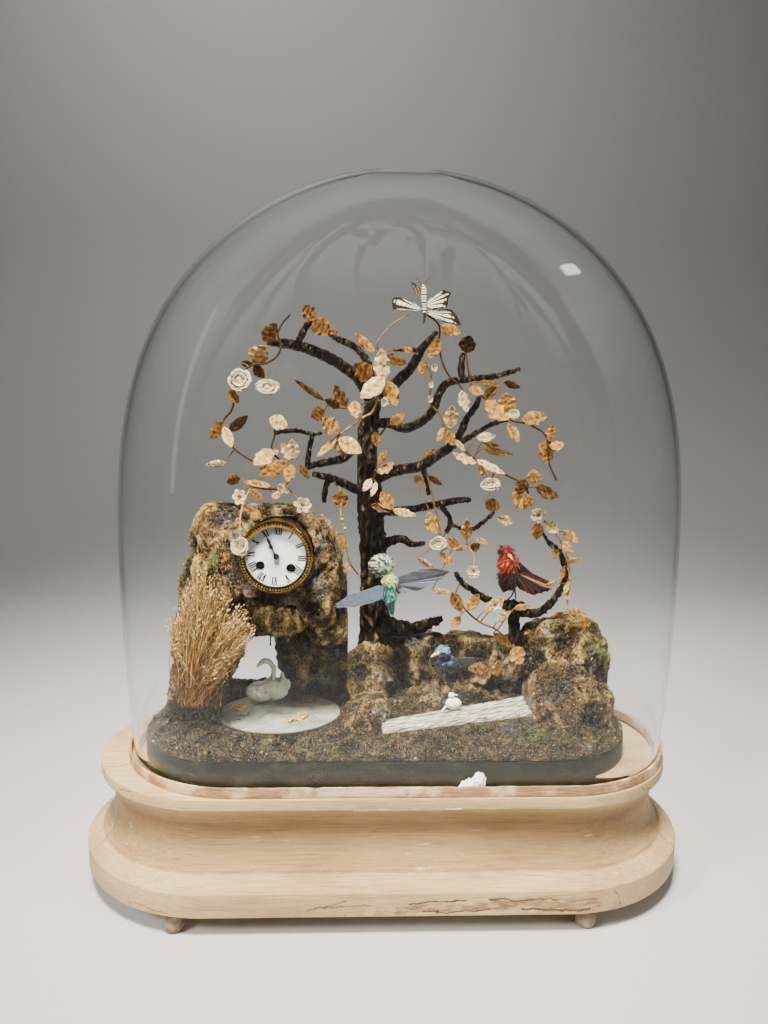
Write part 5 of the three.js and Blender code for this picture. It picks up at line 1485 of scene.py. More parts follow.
# The tree: each limb is a list of picture places with a distance back, and its radii in mm.
limbs = {
    "trunk": [
        {"at": [
            (376, 650, 42), (374, 600, 36), (374, 560, 34), (371, 520, 32), (369, 490, 30),
            (365, 460, 28), (368, 430, 26), (374, 402, 24)],
         "radii": [19, 13.5, 13, 12.5, 12, 10.5, 9, 6]},
        {"at": [
            (377, 622, 30), (401, 628, 36), (422, 626, 42), (442, 618, 50)],
         "radii": [11, 8, 5.5, 3]},
    ],
    "branch_upper_left": [
        {"at": [
            (370, 398, 23), (358, 378, 10), (348, 370, 4), (333, 360, 0), (318, 353, -4),
            (302, 347, -6), (287, 344, -8), (268, 342, -10)],
         "radii": [6, 5.5, 5, 5, 5, 4.5, 4.5, 3]},
        {"at": [
            (297, 346, -6), (307, 326, -10), (315, 320, -12)],
         "radii": [3, 3, 2]},
    ],
    "branch_top_left": [
        {"at": [
            (373, 392, 31), (366, 360, 30), (353, 346, 34), (342, 341, 36), (329, 335, 38)],
         "radii": [4, 3.5, 3, 3, 2]},
    ],
    "branch_upper_right": [
        {"at": [
            (380, 398, 26), (399, 380, 22), (410, 369, 18), (418, 356, 14), (425, 345, 12),
            (437, 332, 8)],
         "radii": [6, 5, 4.5, 4, 3.5, 2]},
        {"at": [
            (424, 350, 12), (410, 350, 16), (394, 350, 20)],
         "radii": [2, 2, 1.5]},
    ],
    "branch_right_high": [
        {"at": [
            (374, 424, 26), (390, 423, 22), (404, 428, 16), (417, 424, 12), (426, 418, 10),
            (433, 410, 8), (439, 394, 6), (446, 384, 4), (463, 380, 0), (492, 377, -4), (520, 369, -8)],
         "radii": [5, 5, 4.5, 4.5, 4, 4, 3.5, 3.5, 3, 3, 1.5]},
        {"at": [
            (462, 381, 0), (461, 366, 2), (463, 353, 4)],
         "radii": [3, 3, 2]},
    ],
    "branch_right": [
        {"at": [
            (372, 480, 28), (390, 472, 22), (404, 469, 16), (420, 466, 10), (436, 456, 4),
            (452, 445, 0), (460, 434, -2), (466, 420, -4), (476, 405, -6), (479, 397, -8)],
         "radii": [6.5, 5.5, 5, 5, 4.5, 4, 3.5, 3, 3, 2]},
        {"at": [
            (452, 446, 0), (466, 439, -8), (479, 431, -14), (495, 423, -18), (508, 420, -20)],
         "radii": [3, 2.5, 2, 2, 1.2]},
        {"at": [
            (422, 466, 10), (427, 482, 18), (429, 494, 24)],
         "radii": [2.8, 2.4, 2]},
    ],
    "branch_right_low": [
        {"at": [
            (374, 512, 31), (407, 510, 30), (428, 506, 32), (444, 503, 34), (460, 500, 36),
            (470, 500, 38)],
         "radii": [5, 4, 3.5, 3.5, 3, 2.5]},
        {"at": [
            (437, 504, 33), (446, 512, 30), (450, 522, 28), (446, 533, 28)],
         "radii": [3, 2.5, 2.5, 2]},
        {"at": [
            (449, 524, 28), (471, 529, 24), (485, 520, 20), (494, 512, 18)],
         "radii": [2, 2, 2, 1.4]},
    ],
    "branch_low": [
        {"at": [
            (376, 547, 32), (402, 539, 26), (412, 544, 22), (424, 543, 18)],
         "radii": [5.5, 4, 3, 2]},
    ],
    "branch_left": [
        {"at": [
            (366, 448, 26), (353, 451, 18), (341, 459, 10), (327, 462, 4), (306, 467, 0)],
         "radii": [5, 4, 4, 3.5, 3]},
        {"at": [
            (307, 466, 0), (310, 447, -4), (313, 434, -6)],
         "radii": [2.2, 2.2, 2]},
        {"at": [
            (322, 433, -4), (313, 434, -6), (300, 431, -7), (287, 431, -8), (275, 433, -10)],
         "radii": [1.4, 1.8, 1.8, 1.8, 1.6]},
    ],
    "branch_left_low": [
        {"at": [
            (366, 494, 28), (345, 484, 12), (330, 478, 8), (313, 474, 4)],
         "radii": [5, 4, 3.5, 2.2]},
        {"at": [
            (329, 479, 8), (325, 491, 8), (324, 502, 8)],
         "radii": [2.6, 2.4, 2]},
    ],
    "perch_stump": [
        {"at": [
            (515, 654, 34), (514, 630, 32), (513, 608, 30)],
         "radii": [7, 5.5, 6]},
        {"at": [
            (505, 606, 29), (513, 606, 29), (523, 608, 29)],
         "radii": [6, 7.5, 6]},
        {"at": [
            (516, 610, 30), (530, 613, 26), (541, 611, 22), (549, 604, 18), (558, 593, 14),
            (565, 578, 12), (563, 561, 12), (558, 551, 12), (546, 539, 12), (542, 530, 14)],
         "radii": [5, 4.5, 4, 3.5, 3, 3, 2.6, 2.6, 2, 1.5]},
        {"at": [
            (508, 606, 30), (491, 601, 26), (475, 592, 24), (463, 583, 22), (455, 572, 22)],
         "radii": [4, 3.5, 3, 2.5, 1.5]},
    ],
}
sprays = {
    "spray_far_left": {
        "wires": [
            {"radius": 1.3, "at": [
                (290, 315, -16), (281, 326, -19), (278, 335, -22), (281, 344, -23), (278, 355, -24),
                (267, 363, -24), (249, 367, -24), (236, 385, -24), (232, 410, -22), (223, 422, -20),
                (226, 435, -20), (232, 446, -20), (244, 456, -22), (255, 462, -24)]},
        ],
        "leaves": [
            (263, 341, 278, 324, 14, -22, 0.15), (253, 363, 265, 345, 16, -22, 0.85),
            (254, 366, 264, 378, 10, -20, 0.15), (229, 390, 238, 405, 9, -28, 0.35),
            (229, 431, 249, 416, 10, -16, 0.2), (223, 422, 211, 439, 12, -22, 0.3),
            (224, 427, 232, 448, 10, -26, 0.85), (226, 463, 206, 464, 6, -24, 0.85),
            (241, 363, 253.5, 365, 6, -23, 0.15),
        ],
        "tie": (284, 344, -8),
        "blossoms": [(240, 380, 12, 12, -30), (268, 387, 13, 8, -26)],
    },
    "spray_top_left": {
        "wires": [
            {"radius": 1.3, "at": [
                (306, 322, -19), (314, 320, -20), (321, 323, -19)]},
        ],
        "leaves": [
            (314, 320, 304, 306, 14, -20, 0.3), (314, 320, 328, 334, 16, -22, 0.5),
            (326, 330, 338, 334, 9, -16, 0.3),
        ],
        "tie": (315, 320, -12),
        "blossoms": [],
    },
    "spray_crown": {
        "wires": [
            {"radius": 1.3, "at": [
                (381, 350, 2), (384, 365, -2), (384, 380, -6), (378, 397, -9), (362, 404, -11),
                (345, 408, -12), (328, 405, -13)]},
            {"radius": 1.5, "at": [
                (378, 397, -9), (372, 412, -14), (362, 418, -17), (350, 427, -18), (338, 436, -18)]},
            {"radius": 0.7, "at": [
                (381, 352, 1), (377, 346, -4), (385, 332, -10), (394, 323, -14), (409, 315, -18)]},
        ],
        "leaves": [
            (374, 352, 355, 334, 9, -4, 0.7), (383, 380, 380, 350, 16, -10, 0.95),
            (386, 356, 406, 365, 11, 2, 0.35), (371, 380, 356, 363, 16, -3, 0.4),
            (384, 378, 361, 399, 17, -16, 0.9), (385, 381, 397, 405, 15, -12, 0.65),
            (355, 401, 355, 419, 12, -18, 0.75), (325, 401, 295, 380, 6, -8, 0.15),
            (347, 407, 333, 387, 12, -8, 0.15), (325, 410, 312, 418, 15, -8, 0.25),
            (340, 408, 325, 398, 8, -16, 0.35), (338, 433, 322, 418, 16, -22, 0.7),
            (336, 438, 318, 458, 8, -20, 0.75), (339, 439, 362, 453, 15, -22, 0.9),
            (338, 440, 343, 456, 10, -14, 0.5), (404, 348, 413, 353, 7, 4, 0.55),
        ],
        "tie": (376, 400, 22),
        "blossoms": [(385, 402, 7, 8, -18)],
    },
    "spray_trunk": {
        "wires": [
            {"radius": 1.3, "at": [
                (388, 424, 6), (378, 440, 6), (376, 465, 6), (373, 485, 6), (378, 505, 6),
                (396, 512, 6)]},
        ],
        "leaves": [
            (390, 424, 404, 415, 10, 4, 0.6), (375, 432, 378, 446, 9, 2, 0.6),
            (378, 464, 387, 450, 7, 2, 0.65), (378, 473, 394, 464, 10, 0, 0.7),
            (371, 479, 364, 491, 8, 2, 0.95), (392, 508, 380, 493, 14, -2, 0.5),
            (371, 505, 394, 511, 9, 8, 0.9), (393, 510, 415, 516, 9, 2, 0.9),
            (376, 482, 372, 497, 6, 4, 0.9),
        ],
        "tie": (372, 440, 25),
        "blossoms": [],
    },
    "spray_left": {
        "wires": [
            {"radius": 1.3, "at": [
                (272, 420, -18), (275, 433, -19), (272, 450, -20), (282, 462, -22), (290, 472, -24),
                (285, 486, -28), (270, 489, -30), (250, 486, -30)]},
            {"radius": 1, "at": [
                (252, 486, -30), (243, 505, -58), (240, 528, -80), (241, 542, -83)]},
        ],
        "leaves": [
            (270, 418, 288, 427, 14, -22, 0.9), (272, 450, 255, 466, 16, -24, 0.9),
            (293, 459, 282, 444, 12, -18, 0.9), (294, 458, 293, 439, 12, -26, 0.9),
            (287, 462, 261, 476, 14, -32, 0.45), (275, 464, 260, 470, 8, -20, 0.8),
            (293, 465, 286, 482, 11, -36, 0.7), (300, 464, 309, 479, 7, -28, 0.4),
            (278, 485, 289, 492, 9, -40, 0.85), (271, 486, 244, 482, 7, -36, 0.8),
            (240, 478, 226, 481, 9, -26, 0.5), (251, 490, 264, 501, 8, -40, 0.4),
            (278, 450, 270, 456, 7, -22, 0.7), (272, 497, 283, 493, 7, -36, 0.8),
            (252, 510, 260, 517, 8, -50, 0.75), (253, 512, 258, 518, 4, -52, 0.7),
        ],
        "tie": (277, 433, -10),
        "blossoms": [(240, 497, 8, 9, -40), (303, 505, 10, 9, -46), (241, 546, 9, 10, -83)],
    },
    "spray_hanging": {
        "wires": [
            {"radius": 1.3, "at": [
                (337, 486, -2), (341, 492, -4), (341, 515, -6), (344, 528, -6), (347, 549, -6),
                (350, 562, -4), (358, 574, 6)]},
        ],
        "leaves": [
            (341, 491, 340, 507, 15, -8, 0.4), (334, 536, 346, 549, 12, -8, 0.65),
            (350, 565, 335, 573, 12, -8, 0.85),
        ],
        "tie": (333, 480, 9),
        "blossoms": [(342, 519, 2.4, 2.4, -7), (345, 528, 2.4, 2.4, -7)],
    },
    "spray_butterfly": {
        "wires": [
            {"radius": 1.3, "at": [
                (427, 315, -14), (439, 326, -6), (439, 340, -4), (440, 353, -6), (444, 367, -8),
                (450, 377, -8), (460, 386, -10), (463, 393, -12)]},
        ],
        "leaves": [
            (440, 327, 460, 334, 12, -4, 0.75), (439, 339, 431, 359, 12, -8, 0.5),
            (461, 391, 466, 412, 11, -14, 0.9),
        ],
        "tie": (434, 336, 9),
        "blossoms": [],
    },
    "spray_buds": {
        "wires": [
            {"radius": 1.3, "at": [
                (424, 360, -6), (430, 372, -8), (431, 385, -8), (430, 402, -8), (440, 415, -10),
                (446, 430, -13), (453, 437, -14)]},
        ],
        "leaves": [
            (450, 428, 452, 405, 14, -14, 0.9), (444, 431, 455, 444, 10, -20, 0.6),
            (455, 440, 464, 451, 6, -22, 0.85), (424, 362, 420, 377, 8, -10, 0.5),
            (445, 428, 438, 441, 8, -14, 0.7),
        ],
        "tie": (433, 410, 8),
        "blossoms": [(434, 368, 6, 7, -10), (431, 385, 4, 6, -9), (430, 399, 5, 7, -9)],
    },
    "spray_right_high": {
        "wires": [
            {"radius": 1.3, "at": [
                (470, 388, -16), (484, 398, -20), (497, 410, -27), (510, 420, -30), (530, 425, -30),
                (548, 440, -30), (548, 460, -30), (556, 480, -28)]},
            {"radius": 1, "at": [
                (471, 388, -16), (468, 370, -12), (466, 353, -8)]},
        ],
        "leaves": [
            (469, 388, 484, 394, 9, -20, 0.6), (484, 399, 496, 386, 9, -16, 0.6),
            (508, 412, 506, 393, 17, -24, 0.75), (485, 402, 506, 421, 18, -34, 0.8),
            (522, 420, 546, 416, 13, -32, 0.75), (549, 441, 552, 425, 10, -32, 0.6),
            (550, 441, 541, 463, 17, -26, 0.6), (550, 447, 563, 445, 10, -34, 0.6),
            (508, 424, 520, 442, 8, -34, 0.65), (466, 353, 468, 336, 17, -8, 0.12),
            (479, 382, 498, 385, 7, -18, 0.3), (504, 382, 519, 388, 7, -20, 0.15),
            (508, 420, 517, 410, 8, -30, 0.9),
        ],
        "tie": (470, 379, -1),
        "blossoms": [(513, 414, 6, 5, -38)],
    },
    "spray_right": {
        "wires": [
            {"radius": 1.3, "at": [
                (462, 449, -12), (477, 460, -20), (495, 470, -24), (512, 478, -26), (524, 485, -28),
                (530, 500, -28)]},
        ],
        "leaves": [
            (477, 438, 496, 436, 9, -24, 0.9), (476, 463, 452, 455, 9, -24, 0.85),
            (477, 460, 504, 475, 8, -30, 0.9), (479, 463, 485, 476, 9, -20, 0.6),
            (482, 449, 512, 455, 7, -18, 0.65), (527, 477, 543, 476, 12, -32, 0.65),
            (535, 487, 557, 498, 13, -26, 0.2), (525, 479, 517, 494, 13, -34, 0.35),
            (513, 492, 523, 508, 8, -28, 0.6), (525, 494, 532, 507, 10, -34, 0.35),
            (482, 442, 498, 447, 6, -20, 0.6), (498, 518, 512, 522, 10, -24, 0.85),
            (485, 502, 500, 508, 12, -24, 0.3), (518, 502, 526, 508, 8, -28, 0.6),
        ],
        "tie": (455, 443, -1),
        "blossoms": [(490, 484, 11, 7, -32)],
    },
    "spray_right_low": {
        "wires": [
            {"radius": 1.3, "at": [
                (440, 540, 8), (452, 549, 4), (466, 546, 0), (474, 558, -2), (474, 570, -4)]},
        ],
        "leaves": [
            (436, 533, 428, 512, 15, 8, 0.7), (467, 540, 465, 518, 12, -2, 0.7),
            (475, 538, 487, 544, 6, -2, 0.85), (448, 538, 461, 551, 10, 12, 0.45),
            (440, 553, 452, 563, 8, 2, 0.6), (417, 558, 435, 568, 5, 8, 0.85),
            (470, 549, 480, 545, 9, 4, 0.2), (432, 590, 450, 592, 6, 4, 0.85),
            (428, 476, 442, 485, 6, 10, 0.2), (413.5, 476, 423, 484, 8, 12, 0.6),
            (423, 460, 436, 450, 9, 8, 0.25),
        ],
        "tie": (446, 532, 28),
        "blossoms": [(438, 543, 10, 8, 2), (473, 571, 8, 8, -8)],
    },
    "spray_right_arch": {
        "wires": [
            {"radius": 1.3, "at": [
                (540, 518, 0), (552, 530, -2), (562, 545, -2), (568, 562, -2), (570, 580, -4),
                (567, 600, -4), (568, 612, -6), (577, 622, -6)]},
        ],
        "leaves": [
            (546, 522, 557, 533, 13, -8, 0.9), (563, 531, 577, 541, 10, 2, 0.85),
            (538, 522, 536, 539, 12, 2, 0.65), (563, 541, 571, 554, 10, -8, 0.6),
            (565, 561, 579, 559, 6, 2, 0.6), (563, 567, 560, 580, 6, -8, 0.6),
            (558, 583, 545, 584, 6, -6, 0.85), (563, 612, 552, 618, 7, -8, 0.6),
            (567, 610, 585, 613, 9, 0, 0.85), (577, 622, 590, 622, 12, -8, 0.6),
            (572, 622, 563, 632, 7, -8, 0.6), (557, 549, 553, 559, 8, 0, 0.6),
            (567, 582, 565, 594, 5, -4, 0.7), (565, 590, 568, 600, 6, -4, 0.7),
        ],
        "tie": (565, 578, 12),
        "blossoms": [(538, 515, 9, 9, -4)],
    },
    "spray_low": {
        "wires": [
            {"radius": 1.3, "at": [
                (455, 594, 12), (466, 610, 10), (480, 622, 8), (497, 630, 6), (510, 644, 6)]},
            {"radius": 0.9, "at": [
                (509, 643, 6), (505, 658, -6), (490, 668, -15)]},
        ],
        "leaves": [
            (452, 592, 461, 612, 12, 6, 0.35), (460, 616, 452, 628, 8, 10, 0.6),
            (467, 610, 479, 594, 12, 4, 0.7), (485, 610, 504, 600, 12, 4, 0.7),
            (497, 622, 510, 610, 8, 0, 0.85), (493, 633, 510, 645, 9, 12, 0.6),
            (514, 647, 519, 663, 19, -2, 0.75), (488, 669, 468, 667, 12, -16, 0.5),
            (497, 675, 495.5, 660, 14, -18, 0.7), (514, 608, 529, 606, 7, 2, 0.6),
        ],
        "tie": (460, 582, 22),
        "blossoms": [(495, 605, 8, 8, 0)],
    },
}
rough = {"trunk": (1.0, 7, 4.2), "perch_stump": (0.8, 5, 2.4)}


def makeLimb(name, forks):
    things = [limbCurve(fork["at"], fork["radii"], name) for fork in forks]
    voxel, size, height = rough.get(name, (0.65, 4, 1.7))
    piece = fused(things, camel(name, "Bark"), voxel)
    relief(piece, [(size, height, "crag"), (size * 0.4, height * 0.5, "soft")], (1, 1, 2.6), 1.1)
    if name in ("trunk", "perch_stump"):
        net = bmesh.new()
        net.from_mesh(piece.data)
        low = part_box(name)
        for vert in net.verts:
            for axis in range(3):
                vert.co[axis] = min(max(vert.co[axis], low[0][axis]), low[1][axis])
        net.to_mesh(piece.data)
        net.free()
    smooth(piece)
    handIn(piece, "dark_bark", name, paint=paints["bark"])


for limbName, forks in limbs.items():
    makeLimb(limbName, forks)
print("tree made")

blossomKinds = {
    (240, 380): "rose", (268, 387): "rose", (385, 402): "bud", (240, 497): "star",
    (303, 505): "star", (342, 519): "pearl", (345, 528): "pearl", (434, 368): "bud",
    (431, 385): "bud", (430, 399): "bud", (513, 414): "rose", (490, 484): "rose",
    (438, 543): "rose", (473, 571): "daisy", (538, 515): "daisy", (495, 605): "daisy",
    (241, 546): "rose",
}


def makeBlossom(px, py, halfWidth, halfHeight, y, rng):
    kind = blossomKinds.get((px, py), "daisy")
    middle = seen(px, py, y)
    front = Vector((0, -1, 0))
    depth = min(halfWidth, halfHeight) * mm
    shape = Matrix.Diagonal((halfWidth * mm, depth, halfHeight * mm, 1))
    petals, hearts = [], []
    if kind in ("rose", "bud", "pearl"):
        hearts.append((0.0, 0.0, 0.72 if kind == "pearl" else 0.45, 0.9))
    rings = {"rose": ((5, 0.5, 0.9), (7, 0.75, 0.55), (9, 1.0, 0.15)),
             "bud": ((4, 0.62, 1.3), (5, 0.9, 0.8)), "star": ((6, 1.0, 0.1), (4, 0.5, 0.5)),
             "daisy": ((13, 1.0, 0.08), (9, 0.7, 0.35)), "pearl": ()}[kind]
    for count, reach, lift in rings:
        for step in range(count):
            angle = 2 * math.pi * (step + rng.uniform(-0.2, 0.2)) / count + reach
            out = Vector((math.cos(angle), -lift - rng.uniform(0, 0.25), math.sin(angle)))
            tip = out.normalized() * reach * rng.uniform(0.86, 0.98)
            loose = Vector([rng.uniform(-1, 1) for k in range(3)]) * 0.45
            face = (front * 1.2 - out * 0.4 + loose).normalized()
            wide = (1.6 if kind == "rose" else 1.1 if kind == "bud" else 0.55) * reach
            wide = 0.5 if kind == "daisy" else wide
            wide = 0.8 * reach if kind == "star" else wide
            place = bladePlace(Vector((0, 0.08, 0)), tip, wide * 0.8, face, 0.5 * reach)
            petals.append((Matrix.Translation(middle) @ shape @ place, rng.uniform(0.93, 1.0)))
    things = [flock(models["petal"], petals, "petals")] if petals else []
    for x, z, size, tone in hearts + [(0, 0, 0.24, 0.55)]:
        ball = blob(Vector((0, 0, 0)), (1, 1, 1), 6)
        ball.data.transform(Matrix.Translation(middle) @ shape @ Matrix.Diagonal(
            (size * 1000, size * 1000, size * 1000, 1)))
        setTone(ball.data, tone)
        things.append(ball)
    return things


def makeSpray(name, part):
    rng = random.Random(len(name) * 7 + len(part["leaves"]))
    wires = []
    for wire in part["wires"]:
        thing = limbCurve(wire["at"], [wire["radius"] * 0.75, wire["radius"] * 0.75], "wire")
        setTone(thing.data, rng.choice((0.14, 0.3, 0.7)))
        wires.append(thing)
    paths = [[seen(*at) for at in wire["at"]] for wire in part["wires"]]
    held = seen(*part["tie"])
    root = min((p for path in paths for p in path), key=lambda p: (p - held).length)
    tie = limbCurve([root, root.lerp(held, 0.5), held], [0.8, 0.8], "tie", ready=True)
    setTone(tie.data, 0.3)
    wires.append(tie)
    leaves = []
    for i, (px, py, tipX, tipY, width, y, tone) in enumerate(part["leaves"]):
        foot = seen(px, py, y)
        tip = seen(tipX, tipY, y + 5 * math.sin(i * 2.3 + px))
        turn = 0.5 * math.sin(i * 1.7) + rng.uniform(-0.25, 0.25)
        along = (tip - foot).normalized()
        face = Matrix.Rotation(turn, 4, along) @ Vector((0, -1, 0.25))
        width = width * mm / max(0.7, math.cos(turn))
        leaves.append((bladePlace(foot, tip, width, face), tone + rng.uniform(-0.06, 0.06)))
        points = [p for path in paths for a, b in zip(path, path[1:])
                  for p in (a.lerp(b, 0.25), a.lerp(b, 0.75), b)]
        root = min(points, key=lambda p: (p - foot).length)
        if (root - foot).length > 1.2 * mm:
            stalk = limbCurve([root, root.lerp(foot, 0.5) + Vector((0, 0, 0.0008)), foot],
                              [0.7, 0.5], "stalk", ready=True)
            setTone(stalk.data, 0.4)
            wires.append(stalk)
    things = wires + [flock(models["leaf"], leaves, "leaves", 0.13)]
    for blossom in part["blossoms"]:
        things += makeBlossom(*blossom, rng)
        middle = seen(blossom[0], blossom[1], blossom[4])
        points = [p for path in paths for p in path]
        root = min(points, key=lambda p: (p - middle).length)
        stalk = limbCurve([root, root.lerp(middle, 0.5) + Vector((0, 0, 0.001)), middle],
                          [0.8, 0.6], "stalk", ready=True)
        setTone(stalk.data, 0.4)
        things.append(stalk)
    piece = joined(things, camel(name, "Leaves"))
    smooth(piece, 70)
    handIn(piece, "gilt_leaf", name, paint=paints["leaf"])


for sprayName, part in sprays.items():
    makeSpray(sprayName, part)
print("sprays made")

# Dried grass: thin stems fan from a root; each ends in a small seed head.
bushParts = {
    "root": (194, 703, -60), "stems": 2300, "seed": 21,
    "edge": [(176, 641), (172, 618), (184, 606), (188, 584), (198, 566), (206, 562), (214, 580),
             (220, 592), (236, 604), (248, 612), (254, 628), (246, 648), (228, 656), (212, 664)],
}


def makeBush():
    part = bushParts
    rng = random.Random(part["seed"])
    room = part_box("grass_bush")
    edge = [seen(x, y, -58) for x, y in part["edge"]]
    root = seen(*part["root"])
    hairs, seeds = [], []
    for count in range(part["stems"]):
        at = rng.uniform(0, len(edge) - 1.001)
        low = int(at)
        tip = edge[low].lerp(edge[low + 1], at - low)
        share = rng.uniform(0.25, 1.0) ** 0.5
        foot = root + Vector((rng.gauss(0, 7), rng.gauss(0, 5), rng.uniform(-2, 34))) * mm
        tip = foot.lerp(tip, share) + Vector((rng.gauss(0, 2), rng.gauss(0, 7), rng.gauss(0, 2))) * mm
        points = [foot]
        bend = Vector((rng.gauss(0, 3), rng.gauss(0, 3), rng.gauss(2, 3))) * mm
        for step in (0.33, 0.66, 1.0):
            points.append(foot.lerp(tip, step) + bend * math.sin(step * math.pi))
        for point in points:
            for axis in range(3):
                point[axis] = min(max(point[axis], room[0][axis] + 0.001), room[1][axis] - 0.001)
        base = rng.choice((0.15, 0.4, 0.55, 0.6, 0.7, 0.85))
        for k, (a, b) in enumerate(zip(points, points[1:])):
            wide = rng.uniform(0.28, 0.5) * mm * (1 - 0.22 * k)
            form = Matrix.Diagonal((wide, wide, (b - a).length * 1.12, 1))
            place = Matrix.Translation(a) @ turnTo((b - a).normalized(), rng.uniform(0, 6)) @ form
            hairs.append((place, min(1, max(0, base * (0.55 + 0.25 * k) + rng.gauss(0, 0.06)))))
        for k in range(2):
            foot = points[2].lerp(points[3], rng.random())
            away = Vector([rng.gauss(0, 1) for axis in range(3)]) + (points[3] - points[2]) * 60
            long = rng.uniform(2.5, 6.0) * mm
            form = Matrix.Diagonal((0.22 * mm, 0.22 * mm, long, 1))
            hairs.append((Matrix.Translation(foot) @ turnTo(away.normalized(), 0) @ form,
                          min(1, base + rng.uniform(-0.2, 0.35))))
        if rng.random() < 0.55:
            form = Matrix.Diagonal((0.7 * mm, 0.7 * mm, rng.uniform(0.9, 2.0) * mm, 1))
            place = Matrix.Translation(points[-1]) @ turnTo(
                (points[-1] - points[-2]).normalized(), 0) @ form
            seeds.append((place, rng.uniform(0.45, 1.0)))
    piece = joined([flock(models["hair"], hairs, "stems"), flock(models["stone"], seeds, "seeds")],
                   "grassBush")
    handIn(piece, "straw", "grass_bush", paint=paints["straw"])


makeBush()
print("bush made")


# The animals. Each body is fused from round forms and covered with copies of one feather.
def plump(px, py, y, halfWidth, halfHeight, halfDepth=None, turn=0):
    at = seen(px, py, y)
    halfDepth = halfDepth or min(halfWidth, halfHeight)
    return blob(at, (halfWidth, halfDepth, halfHeight), 12, (0, turn, 0))


def featherCoat(body, count, size, seed, rule, flow, lift=0.7, test=None, model="feather"):
    rng = random.Random(seed)
    faces = [f for f in body.data.polygons if test is None or test(f.center)]
    places = []
    for step in range(count):
        face = rng.choice(faces)
        down = flow(face.center).normalized()
        down = (down - face.normal * down.dot(face.normal)).normalized()
        long = rng.uniform(*size) * mm
        tip = face.center + (down + face.normal * lift * rng.uniform(0.3, 1)) * long
        tone = min(1, max(0, rule(face.center) + rng.gauss(0, 0.1)))
        places.append((bladePlace(face.center, tip, long * 0.55, face.normal), tone))
    return flock(models[model], places, "coat")


def wingSheet(name, outline, y, thick, lean, rule, cuts=3):
    curve = bpy.data.curves.new(name, "CURVE")
    curve.dimensions = "2D"
    curve.fill_mode = "BOTH"
    line = curve.splines.new("POLY")
    line.use_cyclic_u = True
    line.points.add(len(outline) - 1)
    places = [seen(px, py, y) for px, py in outline]
    for point, at in zip(line.points, places):
        point.co = (at.x, at.z, 0, 1)
    pick(linked(curve, name))
    bpy.ops.object.convert(target="MESH")
    piece = bpy.context.object
    start = places[0]
    piece.data.transform(Matrix.Rotation(math.pi / 2, 4, "X"))
    piece.data.transform(Matrix.Translation((0, y * mm, 0)))
    bpy.ops.object.mode_set(mode="EDIT")
    bpy.ops.mesh.select_all(action="SELECT")
    bpy.ops.mesh.quads_convert_to_tris()
    bpy.ops.mesh.subdivide(number_cuts=cuts)
    bpy.ops.mesh.subdivide(number_cuts=2)
    net = bmesh.from_edit_mesh(piece.data)
    for vert in net.verts:
        vert.co.y += lean * abs(vert.co.x - start.x)
    bmesh.update_edit_mesh(piece.data)
    bpy.ops.object.mode_set(mode="OBJECT")
    modify(piece, "SOLIDIFY", thickness=thick * mm, offset=0)
    toneBy(piece, rule)
    outward(piece)
    return smooth(piece, 40)


# A wing is drawn as a fan from its root, so that veins run from the root to the margin.
def fanWing(root, margin, y, lean, veins, cream, rim=0.86, thick=0.35, ruffle=0.0):
    spans, rings = 44, 26
    start = seen(*root, y)
    edge = [seen(px, py, y) for px, py in margin]
    lengths = [(b - a).length for a, b in zip(edge, edge[1:])]
    whole = sum(lengths)
    deselect()
    bpy.ops.mesh.primitive_grid_add(x_subdivisions=spans, y_subdivisions=rings, size=1)
    wing = bpy.context.object
    mark = wing.data.attributes.new("tone", "FLOAT", "POINT")
    tones = []
    for vert in wing.data.vertices:
        u, v = min(1, max(0, vert.co.x + 0.5)), min(1, max(0.02, vert.co.y + 0.5))
        reach = u * whole
        index = 0
        while index < len(lengths) - 1 and reach > lengths[index]:
            reach -= lengths[index]
            index += 1
        outer = edge[index].lerp(edge[index + 1], min(1, reach / lengths[index]))
        at = start.lerp(outer, v)
        at.y += lean * abs(at.x - start.x) + ruffle * mm * math.sin(u * math.pi * veins) * v
        cell = u * veins - math.floor(u * veins)
        near = min(cell, 1 - cell)
        tone = cream if near > 0.16 + 0.10 * v else 0.05
        if v > rim:
            dot = 0.3 < cell < 0.7 and rim + 0.04 < v < rim + 0.10
            tone = cream * 0.95 if dot else 0.03
        if v < 0.12 or (0.5 < v < 0.55 and near < 0.3):
            tone = 0.12
        vert.co = at
        tones.append(tone)
    mark.data.foreach_set("value", tones)
    modify(wing, "SOLIDIFY", thickness=thick * mm, offset=0)
    outward(wing)
    return wing


